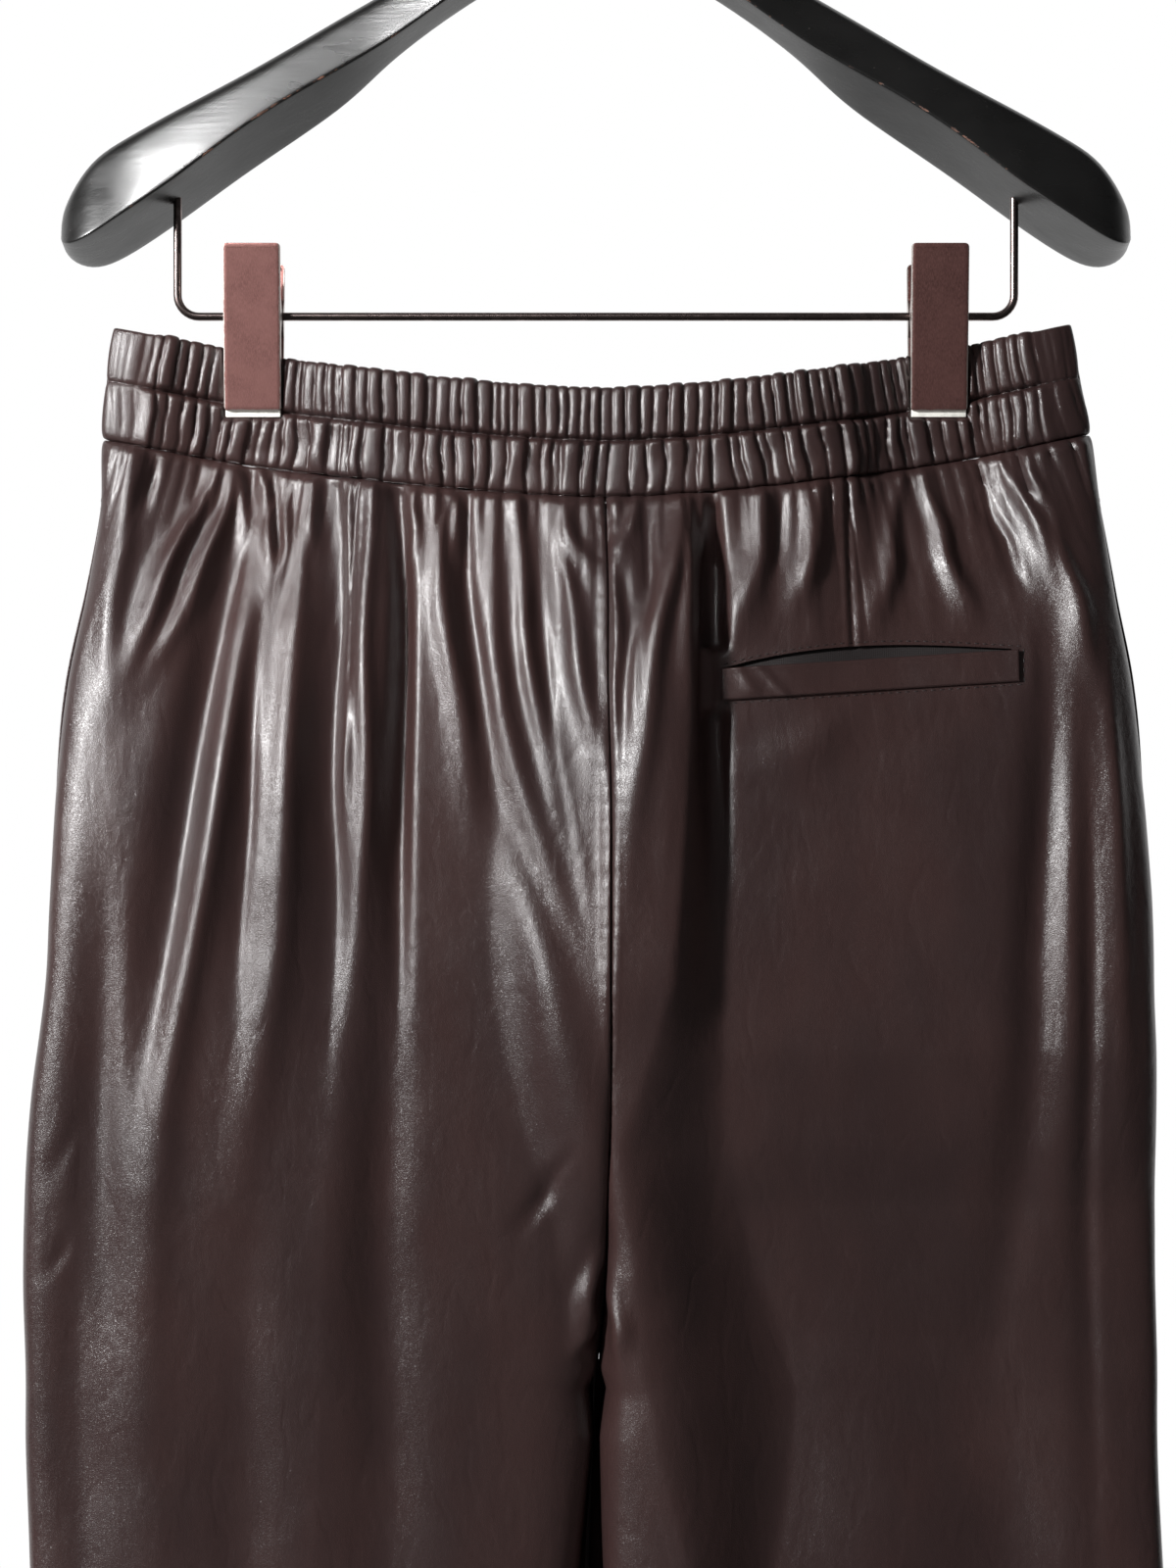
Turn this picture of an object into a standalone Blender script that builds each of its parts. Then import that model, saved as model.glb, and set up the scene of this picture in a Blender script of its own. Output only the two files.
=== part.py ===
"""Pull-on faux leather shorts hung by the waistband from a wooden clip hanger.

Metres, +Z up. The origin is the top of the hanger hook's inside, where a rail carries it. The
back of the garment faces -Y. Tables are in millimetres, and MM turns them into metres.
"""

import math
import random

import bmesh
import bpy
import numpy as np

MM = 0.001
SEAM_GAP = 0.3
CLOTH = 1.4
CASING = 2.6
FRONT_BAND = 2.0
FRONT_BAND_PUFF = 0.3

# Horizontal sections of the garment: height, outer reach to the left and right, depth of the back
# and front, how far it has split into two legs, and where its middle is.
SECTION_COLUMNS = ("height", "left", "right", "back", "front", "split", "middle")
SECTIONS = (
    (-236, 200, 197, 12, 10, 0.00, 4),
    (-268, 204, 202, 13, 11, 0.00, 4),
    (-292, 206, 207, 14, 12, 0.00, 4),
    (-318, 206, 210, 19, 16, 0.00, 4),
    (-353, 211, 215, 28, 23, 0.00, 5),
    (-394, 219, 222, 35, 29, 0.00, 5),
    (-435, 223, 226, 39, 33, 0.00, 6),
    (-480, 225, 229, 41, 35, 0.00, 6),
    (-520, 227, 230, 42, 36, 0.03, 6),
    (-558, 232, 231, 42, 36, 0.12, 6),
    (-600, 235, 231, 41, 35, 0.36, 5),
    (-640, 236, 232, 39, 34, 0.74, 4),
    (-677, 235, 233, 38, 33, 1.00, 1),
    (-704, 235, 233, 37, 33, 1.00, 0),
    (-763, 233, 235, 37, 33, 1.00, -2),
    (-845, 231, 237, 37, 33, 1.00, -3),
)
# Half the space between the legs.
LEG_SPACE = ((-236, 0.0), (-676, 0.0), (-684, 3.0), (-704, 1.0), (-763, 5.0), (-845, 7.0))
TOP = -236
HEM = -845
CROTCH = -676
BODY_FULLNESS = 2.7
LEG_FULLNESS = 2.3

# The waistband's top edge and its lower seam, both sagging between the clips.
BAND_TOP_MIDDLE = -271
BAND_SEAM_MIDDLE = -316
BAND_CENTRE = 4
BAND_REACH = 204
BAND_RISE_LEFT = 26
BAND_RISE_RIGHT = 30
BAND_RISE_POWER = 1.6
BAND_SEAM_SHARE = 0.9
BAND_RISE_FADE = 190
# Distances round from each side seam at which a band has points, so that it follows the turn.
BAND_TURN = (0, 3, 6, 10)

# The side seam lies a little to the back at the waist and runs out to the edge at the pocket.
SEAM_TURN = ((-236, 6.0), (-292, 6.0), (-318, 3.0), (-345, 0.5), (-845, 0.5))

# The clips press front and back together.
CLIP_X = 143
CLIP_HOLD = 14
CLIP_BACK_DEPTH = 3.4
CLIP_FRONT_DEPTH = 2.6
CLIP_PINCH = ((-236, 1.0), (-296, 1.0), (-330, 0.62), (-370, 0.30), (-420, 0.08), (-470, 0.0))
CLIP_SPREAD = ((-236, 34), (-300, 38), (-360, 52), (-470, 60), (-845, 60))

# Folds: the heights where each one starts and ends, its path across, how far down it is at its
# strongest from 0 to 1, its half width, and how far it stands out, negative for a trough.
FOLD_COLUMNS = ("start", "end", "across_start", "across_middle", "across_end", "peak", "width", "height")
BACK_FOLDS = (
    (-298, -440, -190, -202, -208, 0.40, 8, 4.5),
    (-300, -425, -157, -183, -207, 0.40, 7, 6.0),
    (-306, -415, -148, -164, -196, 0.40, 7, 4.5),
    (-310, -600, -142, -173, -204, 0.30, 12, -7.0),
    (-316, -640, -127, -131, -146, 0.30, 11, 7.0),
    (-340, -620, -142, -158, -190, 0.40, 8, 5.0),
    (-310, -640, -112, -116, -130, 0.25, 8, -6.5),
    (-306, -520, -93, -97, -100, 0.25, 7, 5.5),
    (-306, -740, -82, -89, -116, 0.25, 10, -11.0),
    (-308, -500, -70, -62, -50, 0.35, 9, 6.0),
    (-310, -500, -56, -52, -42, 0.30, 6, -4.5),
    (-312, -545, -44, -38, 2, 0.40, 8, 6.0),
    (-320, -520, -30, -26, -2, 0.40, 7, -3.0),
    (-440, -700, -40, -30, -14, 0.45, 36, 8.0),
    (-312, -400, 14, 12, 8, 0.50, 6, -4.0),
    (-312, -480, 36, 24, 7, 0.30, 10, 7.0),
    (-308, -760, 44, 41, 76, 0.25, 8, -13.0),
    (-470, -800, 44, 56, 74, 0.50, 24, -8.0),
    (-308, -378, 67, 61, 53, 0.50, 7, 5.0),
    (-308, -366, 92, 85, 75, 0.50, 7, 4.5),
    (-306, -378, 128, 124, 119, 0.50, 7, 4.5),
    (-304, -370, 144, 152, 162, 0.50, 7, 4.5),
    (-292, -366, 165, 180, 192, 0.50, 7, 4.5),
    (-310, -610, 176, 186, 164, 0.30, 10, -7.0),
    (-318, -425, 184, 195, 207, 0.50, 8, 5.5),
    (-385, -640, 191, 195, 198, 0.40, 9, 5.0),
    (-540, -845, -186, -196, -200, 0.50, 24, 5.0),
    (-600, -845, 122, 124, 126, 0.60, 36, 5.0),
    (-600, -845, -70, -66, -64, 0.60, 22, 5.0),
)
FRONT_FOLDS = (
    (-306, -700, -96, -104, -118, 0.30, 12, -8.0),
    (-312, -640, -52, -48, -40, 0.35, 14, 6.0),
    (-314, -560, -18, -16, -10, 0.35, 12, -5.0),
    (-314, -620, 30, 26, 14, 0.35, 12, 6.0),
    (-308, -720, 74, 82, 96, 0.30, 12, -8.5),
    (-304, -600, 112, 118, 130, 0.40, 13, 6.0),
    (-300, -560, 166, 174, 186, 0.30, 11, -6.0),
    (-300, -600, -134, -144, -160, 0.40, 12, 6.0),
    (-300, -520, -172, -182, -196, 0.30, 11, -5.5),
)
FOLD_EDGE_FADE = 14
FOLD_SEAM_FADE = 7
FOLD_POCKET_FADE = 7

BACK_COLUMNS = 34
BACK_ROWS = 20
FRONT_COLUMNS = 15
FRONT_ROWS = 14
BACK_SIDE_CROWDING = 0.2
FRONT_SIDE_CROWDING = 0.6
ROW_CROWDING = 1.3

# Elastic gathers in the back waistband, in two channels with a stitched groove between them.
PLEAT_PITCH = 8.4
PLEAT_HEIGHT = 2.5
PLEAT_FLAT_SIDE = 22
CHANNEL_ROWS = ((0.0, 0.0), (0.09, 1.0), (0.40, 1.0), (0.48, 0.0), (0.56, 1.0), (0.88, 0.7), (1.0, 0.0))

# The welt pocket on the right back: its ends, the heights of its upper edge, and its sizes.
POCKET_LEFT = 51
POCKET_RIGHT = 174
POCKET_Z_LEFT = -388
POCKET_Z_RIGHT = -380
WELT_HEIGHT = 13
WELT_THICK = 1.6
WELT_LIFT = 0.6
SLOT_GAPE = 6
FACING_THICK = 1.0
FACING_MARGIN = 3
FACING_DROP = 0.8
POCKET_STEPS = 14

# In-seam side pockets: the front edge stands off the back edge between these heights.
SIDE_POCKET_TOP = -313
SIDE_POCKET_END = -484
SIDE_POCKET_GAPE = 4.5

# The wooden hanger: distance from its middle, its top, the lower edges of its front and back
# faces, and its depth.
HANGER_COLUMNS = ("reach", "top", "front_low", "back_low", "depth")
HANGER_SECTIONS = (
    (0, -62, -77, -87, 20),
    (21, -67, -82, -92, 20),
    (42, -80, -94, -104, 20),
    (64, -96, -110, -120, 20),
    (85, -110, -125, -136, 21),
    (107, -122, -141, -153, 24),
    (128, -134, -154, -168, 28),
    (150, -146, -169, -183, 33),
    (175, -160, -190, -201, 38),
    (196, -171, -204, -215, 40),
    (208, -181, -211, -219, 38),
    (217, -194, -213, -218, 30),
    (222, -204, -211, -214, 14),
)
HANGER_STATIONS = 24
HANGER_EDGE = 4

HOOK_WIRE = 4.4
HOOK_INSIDE = 20
HOOK_STEM_FOOT = -74
HOOK_END_ANGLE = 196
BAR_WIRE = 3.5
BAR_Z = -239.5
BAR_REACH = 175
BAR_BEND = 9
BAR_FOOT = -189
SOCKET_CLEARANCE = 0.3
WIRE_SIDES = 12

CLIP_WIDTH = 23.8
CLIP_TOP = -210
CLIP_LOW = -279.5
CLIP_INNER_TOP = -216
CLIP_SHEET = 1.2
CLIP_SPREAD_TOP = 13.5
CLIP_EAR = 16
PAD_HEIGHT = 20
PAD_THICK = 1.5
PAD_BELOW = 2.5
SPRING_RADIUS = 3.4
SPRING_LENGTH = 15


def cubic(heights, values, at):
    """Catmull-Rom interpolation of a column whose heights run downwards."""
    knots = -np.asarray(heights, float)
    values = np.asarray(values, float)
    slopes = np.gradient(values, knots)
    where = np.clip(-np.asarray(at, float), knots[0], knots[-1])
    k = np.clip(np.searchsorted(knots, where, side="right") - 1, 0, len(knots) - 2)
    step = knots[k + 1] - knots[k]
    t = (where - knots[k]) / step
    return (
        (2 * t**3 - 3 * t**2 + 1) * values[k]
        + (t**3 - 2 * t**2 + t) * step * slopes[k]
        + (3 * t**2 - 2 * t**3) * values[k + 1]
        + (t**3 - t**2) * step * slopes[k + 1]
    )


def section(name, height):
    column = SECTION_COLUMNS.index(name)
    return cubic([row[0] for row in SECTIONS], [row[column] for row in SECTIONS], height)


def taper(rows, height):
    """A two-column table read at a height, in straight steps."""
    table = np.asarray(rows, float)[::-1]
    return np.interp(height, table[:, 0], table[:, 1])


def smooth(t):
    t = np.clip(t, 0, 1)
    return t * t * (3 - 2 * t)


def clip_grip(x, height):
    """1 where a clip presses the layers together, 0 away from it."""
    off = np.maximum(np.abs(np.abs(x) - CLIP_X) - CLIP_HOLD, 0)
    return taper(CLIP_PINCH, height) * (1 - smooth(off / taper(CLIP_SPREAD, height)))


def half_ring(side, height, steps=240):
    """One half of the garment's outline at a height, from the middle back round the side to the
    middle front: points spaced evenly along it, and its length."""
    outer = section("right" if side > 0 else "left", height)
    inner = section("middle", height) * side + taper(LEG_SPACE, height)
    split = np.clip(section("split", height), 0, 1)
    wave = (1 - np.cos(np.pi * np.linspace(0, 1, steps))) / 2
    reach = inner + (outer - inner) * wave
    body = np.clip(1 - wave**BODY_FULLNESS, 0, 1) ** (1 / BODY_FULLNESS)
    leg = np.clip(1 - np.abs(2 * wave - 1) ** LEG_FULLNESS, 0, 1) ** (1 / LEG_FULLNESS)
    form = (1 - split) * body + split * leg
    grip = clip_grip(reach, height)
    back = form * (section("back", height) * (1 - grip) + CLIP_BACK_DEPTH * grip)
    front = form * (section("front", height) * (1 - grip) + CLIP_FRONT_DEPTH * grip)
    x = side * np.concatenate([reach, reach[-2::-1]])
    y = np.concatenate([-back, front[-2::-1]])
    along = np.concatenate([[0], np.cumsum(np.hypot(np.diff(x), np.diff(y)))])
    even = np.linspace(0, along[-1], 2 * steps)
    side_point = along[steps - 1] / along[-1]
    return np.interp(even, along, x), np.interp(even, along, y), along[-1], side_point


class HalfForm:
    """The smooth outer form of one half of the garment. A place on it is a share of the way round,
    from 0 at the middle back to 1 at the middle front, and a height."""

    def __init__(self, side, step=4):
        self.side = side
        self.heights = np.arange(TOP, HEM - step - 1, -step, dtype=float)
        rings = [half_ring(side, height) for height in self.heights]
        self.x = np.array([ring[0] for ring in rings])
        self.y = np.array([ring[1] for ring in rings])
        self.length = np.array([ring[2] for ring in rings])
        self.side_point = np.array([ring[3] for ring in rings])

    def read(self, table, share, height):
        row = np.clip((self.heights[0] - height) / 4.0, 0, len(self.heights) - 1.001)
        column = np.clip(share, 0, 1) * (table.shape[1] - 1)
        r0 = row.astype(int)
        c0 = np.minimum(column.astype(int), table.shape[1] - 2)
        dr, dc = row - r0, column - c0
        upper = table[r0, c0] * (1 - dc) + table[r0, c0 + 1] * dc
        lower = table[r0 + 1, c0] * (1 - dc) + table[r0 + 1, c0 + 1] * dc
        return upper * (1 - dr) + lower * dr

    def at_height(self, column, height):
        return np.interp(-np.asarray(height, float), -self.heights, column)

    def seam_share(self, height):
        """Where the side seam is."""
        length = self.at_height(self.length, height)
        return self.at_height(self.side_point, height) - taper(SEAM_TURN, height) / length

    def place(self, share, height):
        x = self.read(self.x, share, height)
        y = self.read(self.y, share, height)
        return np.stack([x, y, np.asarray(height, float)], axis=-1)

    def normal(self, share, height):
        """The outward direction, square to the form."""
        d = 0.004
        low, high = np.clip(share - d, 0, 1), np.clip(share + d, 0, 1)
        round_it = self.place(high, height) - self.place(low, height)
        down = self.place(share, height - 3) - self.place(share, height + 3)
        n = np.cross(down, round_it) * self.side
        return n / np.linalg.norm(n, axis=-1, keepdims=True)

    def share_of(self, x, height, front=False):
        """The share at which the back, or the front, is this far across at this height."""
        across = self.read_row(self.x, height) * self.side
        shares = np.linspace(0, 1, len(across))
        turn = int(np.argmax(across))
        if front:
            return float(np.interp(x * self.side, across[turn:][::-1], shares[turn:][::-1]))
        return float(np.interp(x * self.side, across[: turn + 1], shares[: turn + 1]))

    def read_row(self, table, height):
        share = np.linspace(0, 1, table.shape[1])
        return self.read(table, share, np.full(len(share), float(height)))


def fold_relief(rows, x, height):
    """How far the folds stand out at a place, in millimetres."""
    total = np.zeros(np.broadcast(x, height).shape)
    for row in rows:
        fold = dict(zip(FOLD_COLUMNS, row))
        t = (fold["start"] - height) / (fold["start"] - fold["end"])
        across = (
            (1 - t) * (1 - 2 * t) * fold["across_start"]
            + 4 * t * (1 - t) * fold["across_middle"]
            - t * (1 - 2 * t) * fold["across_end"]
        )
        rise = 0.45 + 0.55 * smooth(t / fold["peak"])
        fall = 1 - smooth((t - fold["peak"]) / (1 - fold["peak"]))
        inside = np.where((t >= 0) & (t <= 1), 1.0, 0.0)
        near = np.exp(-np.abs((x - across) / fold["width"]) ** 1.7)
        total += fold["height"] * np.minimum(rise, fall) * near * inside
    return total


def folds_at(form, share, height):
    """Fold relief, faded at the seams, along the legs' inner edges, at the pocket and by the clips."""
    place = form.place(share, height)
    x, y = place[..., 0], place[..., 1]
    relief = np.where(y < 0, fold_relief(BACK_FOLDS, x, height), fold_relief(FRONT_FOLDS, x, height))
    outer = form.at_height(np.max(form.x * form.side, axis=1), height)
    relief = relief * smooth((outer - x * form.side) / FOLD_EDGE_FADE)
    inner = np.minimum(share, 1 - share) * form.at_height(form.length, height)
    legs = np.clip(section("split", height), 0, 1)
    relief = relief * (1 - legs * (1 - smooth(inner / (2 * FOLD_EDGE_FADE))))
    below_seam = BAND_SEAM_MIDDLE + rise_at(x) * BAND_SEAM_SHARE - height
    relief = relief * smooth(below_seam / FOLD_SEAM_FADE)
    half = (POCKET_RIGHT - POCKET_LEFT) / 2 + FACING_MARGIN
    past = np.abs(x - (POCKET_LEFT + POCKET_RIGHT) / 2) - half
    above = np.abs(height - pocket_line(x)) - WELT_HEIGHT - FACING_MARGIN
    beside = (1 - smooth(past / FOLD_POCKET_FADE)) * (1 - smooth(above / (2 * FOLD_POCKET_FADE)))
    pocket = np.where(y < 0, beside, 0)
    return relief * (1 - pocket) * (1 - 0.5 * clip_grip(x, height))


def rise_at(x):
    """How much higher the waist is than at its middle."""
    off = np.abs(x - BAND_CENTRE) / BAND_REACH
    return np.where(x < BAND_CENTRE, BAND_RISE_LEFT, BAND_RISE_RIGHT) * off**BAND_RISE_POWER


def smooth_lines(obj, angle=60):
    obj.data.shade_smooth()
    obj.data.set_sharp_from_angle(angle=math.radians(angle))


def material(name, color, roughness, metallic=0.0):
    found = bpy.data.materials.get(name)
    if found:
        return found
    made = bpy.data.materials.new(name)
    made.use_nodes = True
    shader = made.node_tree.nodes["Principled BSDF"]
    shader.inputs["Base Color"].default_value = (*color, 1)
    shader.inputs["Roughness"].default_value = roughness
    shader.inputs["Metallic"].default_value = metallic
    return made


def faux_leather():
    return material("faux_leather", (0.042, 0.027, 0.026), 0.35)


def lining_cloth():
    return material("pocket_facing", (0.030, 0.020, 0.019), 0.55)


def black_lacquer():
    return material("black_lacquer", (0.010, 0.010, 0.010), 0.22)


def dark_wire():
    return material("dark_wire", (0.075, 0.058, 0.056), 0.35, 1.0)


def bronze_plate():
    return material("bronze_plate", (0.165, 0.075, 0.068), 0.38, 1.0)


def clip_pad():
    return material("clip_pad", (0.72, 0.71, 0.66), 0.5)


def add_object(name, mesh, finish, parent=None):
    obj = bpy.data.objects.new(name, mesh)
    obj.data.materials.append(finish)
    obj.parent = parent
    bpy.context.collection.objects.link(obj)
    return obj


def closed_mesh(name, bm):
    """The mesh of a closed body, its faces turned outwards."""
    bmesh.ops.recalc_face_normals(bm, faces=bm.faces)
    if bm.calc_volume(signed=True) < 0:
        bmesh.ops.reverse_faces(bm, faces=bm.faces)
    mesh = bpy.data.meshes.new(name)
    bm.to_mesh(mesh)
    bm.free()
    return mesh


def wall(name, outer, inner, finish, parent=None):
    """A closed wall between two grids of points of the same size, in millimetres."""
    rows, columns = outer.shape[:2]
    bm = bmesh.new()
    grids = []
    for points in (outer, inner):
        flat = [bm.verts.new(tuple(point * MM)) for point in points.reshape(-1, 3)]
        grids.append([flat[r * columns : (r + 1) * columns] for r in range(rows)])
    out, back = grids
    for r in range(rows - 1):
        for c in range(columns - 1):
            bm.faces.new((out[r][c], out[r][c + 1], out[r + 1][c + 1], out[r + 1][c]))
            bm.faces.new((back[r][c], back[r + 1][c], back[r + 1][c + 1], back[r][c + 1]))
    rim = [(0, c) for c in range(columns)]
    rim += [(r, columns - 1) for r in range(1, rows)]
    rim += [(rows - 1, c) for c in range(columns - 2, -1, -1)]
    rim += [(r, 0) for r in range(rows - 2, 0, -1)]
    for (r, c), (r2, c2) in zip(rim, rim[1:] + rim[:1]):
        bm.faces.new((out[r2][c2], out[r][c], back[r][c], back[r2][c2]))
    obj = add_object(name, closed_mesh(name, bm), finish, parent)
    smooth_lines(obj)
    return obj


def body_heights(x, row, rows):
    """The height of a row of a leg panel, bent like the waist at the top and level at the hem."""
    level = BAND_SEAM_MIDDLE - SEAM_GAP / 2 + (HEM - BAND_SEAM_MIDDLE) * (row / rows) ** ROW_CROWDING
    fade = 1 - smooth((BAND_SEAM_MIDDLE - level) / BAND_RISE_FADE)
    return level + rise_at(x) * BAND_SEAM_SHARE * fade


def panel_grid(form, front, rows, columns):
    """Shares and heights of a leg panel's points, from the middle seam to the side seam."""
    share = np.zeros((rows + 1, columns + 1))
    height = np.zeros_like(share)
    crowding = FRONT_SIDE_CROWDING if front else BACK_SIDE_CROWDING
    for row in range(rows + 1):
        level = np.full(columns + 1, body_heights(BAND_CENTRE, row, rows))
        for _ in range(3):
            half_gap = SEAM_GAP / 2 / form.at_height(form.length, level)
            seam = form.seam_share(level)
            step = np.linspace(0, 1, columns + 1)
            step = step + crowding * np.sin(np.pi * step) / np.pi
            if front:
                share[row] = 1 - half_gap - (1 - 2 * half_gap - seam) * step
            else:
                share[row] = half_gap + (seam - 2 * half_gap) * step
            level = body_heights(form.place(share[row], level)[:, 0], row, rows)
        height[row] = level
    return share, height


def panel_normals(form, share, height):
    """Outward directions of a leg panel. Its middle edge faces straight back, or forward, and turns
    under the crotch, and below that it faces the other leg."""
    normal = form.normal(share, height)
    edge, level = share[:, 0], height[:, 0]
    down = form.place(edge, level - 3) - form.place(edge, level + 3)
    sign = -1 if edge[0] < 0.5 else 1
    turned = np.stack([np.zeros(len(edge)), -down[:, 2] * sign, down[:, 1] * sign], axis=-1)
    turned /= np.linalg.norm(turned, axis=-1, keepdims=True)
    leg = np.tile([-float(form.side), 0.0, 0.0], (len(edge), 1))
    mix = smooth((CROTCH + 6 - level) / 12)[:, None]
    edge_normal = turned * (1 - mix) + leg * mix
    normal[:, 0] = edge_normal / np.linalg.norm(edge_normal, axis=-1, keepdims=True)
    return normal


def keep_side(form, points, height, front):
    """Holds a panel's points on its own side of the middle seam, and of the seam inside the leg."""
    limit = form.at_height(form.x[:, 0], height)
    points[..., 0] = limit + form.side * np.maximum(form.side * (points[..., 0] - limit), SEAM_GAP / 2)
    away = 1 if front else -1
    near = points[:, :3, 1]
    points[:, :3, 1] = away * np.maximum(away * near, SEAM_GAP / 2)
    return points


def pocket_stand_off(form, share, height, front):
    """The front edge of a side pocket stands off the body, outwards and forwards."""
    if not front:
        return 0
    t = (SIDE_POCKET_TOP - height) / (SIDE_POCKET_TOP - SIDE_POCKET_END)
    opening = np.sin(np.pi * np.clip(t, 0, 1)) ** 0.7
    off = (share - form.seam_share(height)) * form.at_height(form.length, height)
    return SIDE_POCKET_GAPE * opening * (1 - smooth(off / 26))


def leg_panel(name, form, front, rows, columns, parent):
    share, height = panel_grid(form, front, rows, columns)
    normal = panel_normals(form, share, height)
    relief = folds_at(form, share, height) + pocket_stand_off(form, share, height, front)
    outer = form.place(share, height) + normal * relief[..., None]
    inner = keep_side(form, outer - normal * CLOTH, height, front)
    outer = keep_side(form, outer, height, front)
    return wall(name, outer, inner, faux_leather(), parent)


def pleat_columns():
    """Across positions of the gathers' crests and dips, uneven as elastic makes them."""
    rng = random.Random(11)
    across = [-BAND_REACH + PLEAT_FLAT_SIDE]
    while across[-1] < BAND_REACH - PLEAT_FLAT_SIDE - PLEAT_PITCH:
        across.append(across[-1] + PLEAT_PITCH / 2 * rng.uniform(0.75, 1.25))
    return across


def band_heights(x, down):
    top = BAND_TOP_MIDDLE + rise_at(x)
    seam = BAND_SEAM_MIDDLE + SEAM_GAP / 2 + rise_at(x) * BAND_SEAM_SHARE
    return top + (seam - top) * down


def band_points(forms, across, down, front):
    """Places and normals on the waistband at a share of the way down it."""
    places, normals = [], []
    for x in across:
        form = forms[0] if x < BAND_CENTRE else forms[1]
        height = float(band_heights(x, down))
        share = form.share_of(x, height, front)
        s, h = np.array([share]), np.array([height])
        places.append(form.place(s, h)[0])
        normals.append(form.normal(s, h)[0])
    return np.array(places), np.array(normals)


def band_turn(form, down, front, off):
    """Place and normal on the waistband at a distance round from its side seam."""
    height = np.array([BAND_SEAM_MIDDLE + BAND_RISE_LEFT], float)
    for _ in range(3):
        away = (SEAM_GAP / 2 + off) / form.at_height(form.length, height)
        share = form.seam_share(height) + (away if front else -away)
        height = band_heights(form.place(share, height)[:, 0], down)
    return form.place(share, height)[0], form.normal(share, height)[0]


def band_row(forms, across, down, front):
    """Places and normals along the whole of one waistband, from side seam to side seam."""
    places, normals = band_points(forms, across, down, front)
    left = [band_turn(forms[0], down, front, off) for off in BAND_TURN]
    right = [band_turn(forms[1], down, front, off) for off in BAND_TURN[::-1]]
    places = np.vstack([[end[0] for end in left], places, [end[0] for end in right]])
    normals = np.vstack([[end[1] for end in left], normals, [end[1] for end in right]])
    return places, normals


def back_waistband(forms, parent):
    across = pleat_columns()
    clear = [x for x in across if abs(abs(x) - CLIP_X) > CLIP_HOLD + 1]
    flat = [side * (CLIP_X + off) for side in (-1, 1) for off in (-CLIP_HOLD, 0, CLIP_HOLD)]
    across = sorted(clear + flat + [BAND_REACH - 15, 15 - BAND_REACH])
    crest = {x: k % 2 for k, x in enumerate(sorted(clear))}
    pleats = np.array([crest.get(x, 0) for x in across]) * PLEAT_HEIGHT
    pleats = np.pad(pleats, len(BAND_TURN))
    outer, inner = [], []
    for down, bulge in CHANNEL_ROWS:
        places, normals = band_row(forms, across, down, False)
        outer.append(places + normals * (pleats * bulge)[:, None])
        inner.append(places - normals * CASING)
    band = wall("waistband_back", np.array(outer), np.array(inner), faux_leather(), parent)
    smooth_lines(band, 30)


def front_waistband(forms, parent):
    across = [side * (CLIP_X + off) for side in (-1, 1) for off in (-CLIP_HOLD, CLIP_HOLD)]
    across += [side * (BAND_REACH - off) for side in (-1, 1) for off in (14, 24, 34)]
    across += [float(x) for x in np.linspace(-118, 118, 15)]
    outer, inner = [], []
    for down, _ in CHANNEL_ROWS:
        puff = FRONT_BAND_PUFF if 0 < down < 1 else 0
        places, normals = band_row(forms, sorted(across), down, True)
        outer.append(places + normals * puff)
        inner.append(places - normals * (FRONT_BAND - puff))
    wall("waistband_front", np.array(outer), np.array(inner), faux_leather(), parent)


def surface_strip(form, across, heights, lift_out, lift_in):
    """Grids of points over and under the back at these places. Rows of heights run downwards."""
    share = np.array([[form.share_of(x, z) for x, z in zip(across, row)] for row in heights])
    height = np.array(heights, float)
    normal = form.normal(share, height)
    skin = form.place(share, height) + normal * folds_at(form, share, height)[..., None]
    return skin + normal * lift_out, skin + normal * lift_in


def pocket_line(x):
    """The height of the welt's upper edge."""
    t = (x - POCKET_LEFT) / (POCKET_RIGHT - POCKET_LEFT)
    return POCKET_Z_LEFT + (POCKET_Z_RIGHT - POCKET_Z_LEFT) * t


def pocket_welt(form, parent):
    across = np.linspace(POCKET_LEFT, POCKET_RIGHT, POCKET_STEPS + 1)
    heights = [[pocket_line(x) - WELT_HEIGHT * d for x in across] for d in (0, 0.5, 1)]
    outer, inner = surface_strip(form, across, heights, WELT_LIFT + WELT_THICK, WELT_LIFT)
    return wall("back_pocket_welt", outer, inner, faux_leather(), parent)


def pocket_facing(form, parent):
    across = np.linspace(POCKET_LEFT + 1, POCKET_RIGHT - 1, POCKET_STEPS + 1)
    drop = (SLOT_GAPE + FACING_MARGIN, 0, -2 * FACING_MARGIN)
    heights = [[pocket_line(x) + d for x in across] for d in drop]
    behind = -CLOTH - FACING_DROP
    outer, inner = surface_strip(form, across, heights, behind, behind - FACING_THICK)
    return wall("back_pocket_facing", outer, inner, lining_cloth(), parent)


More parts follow.
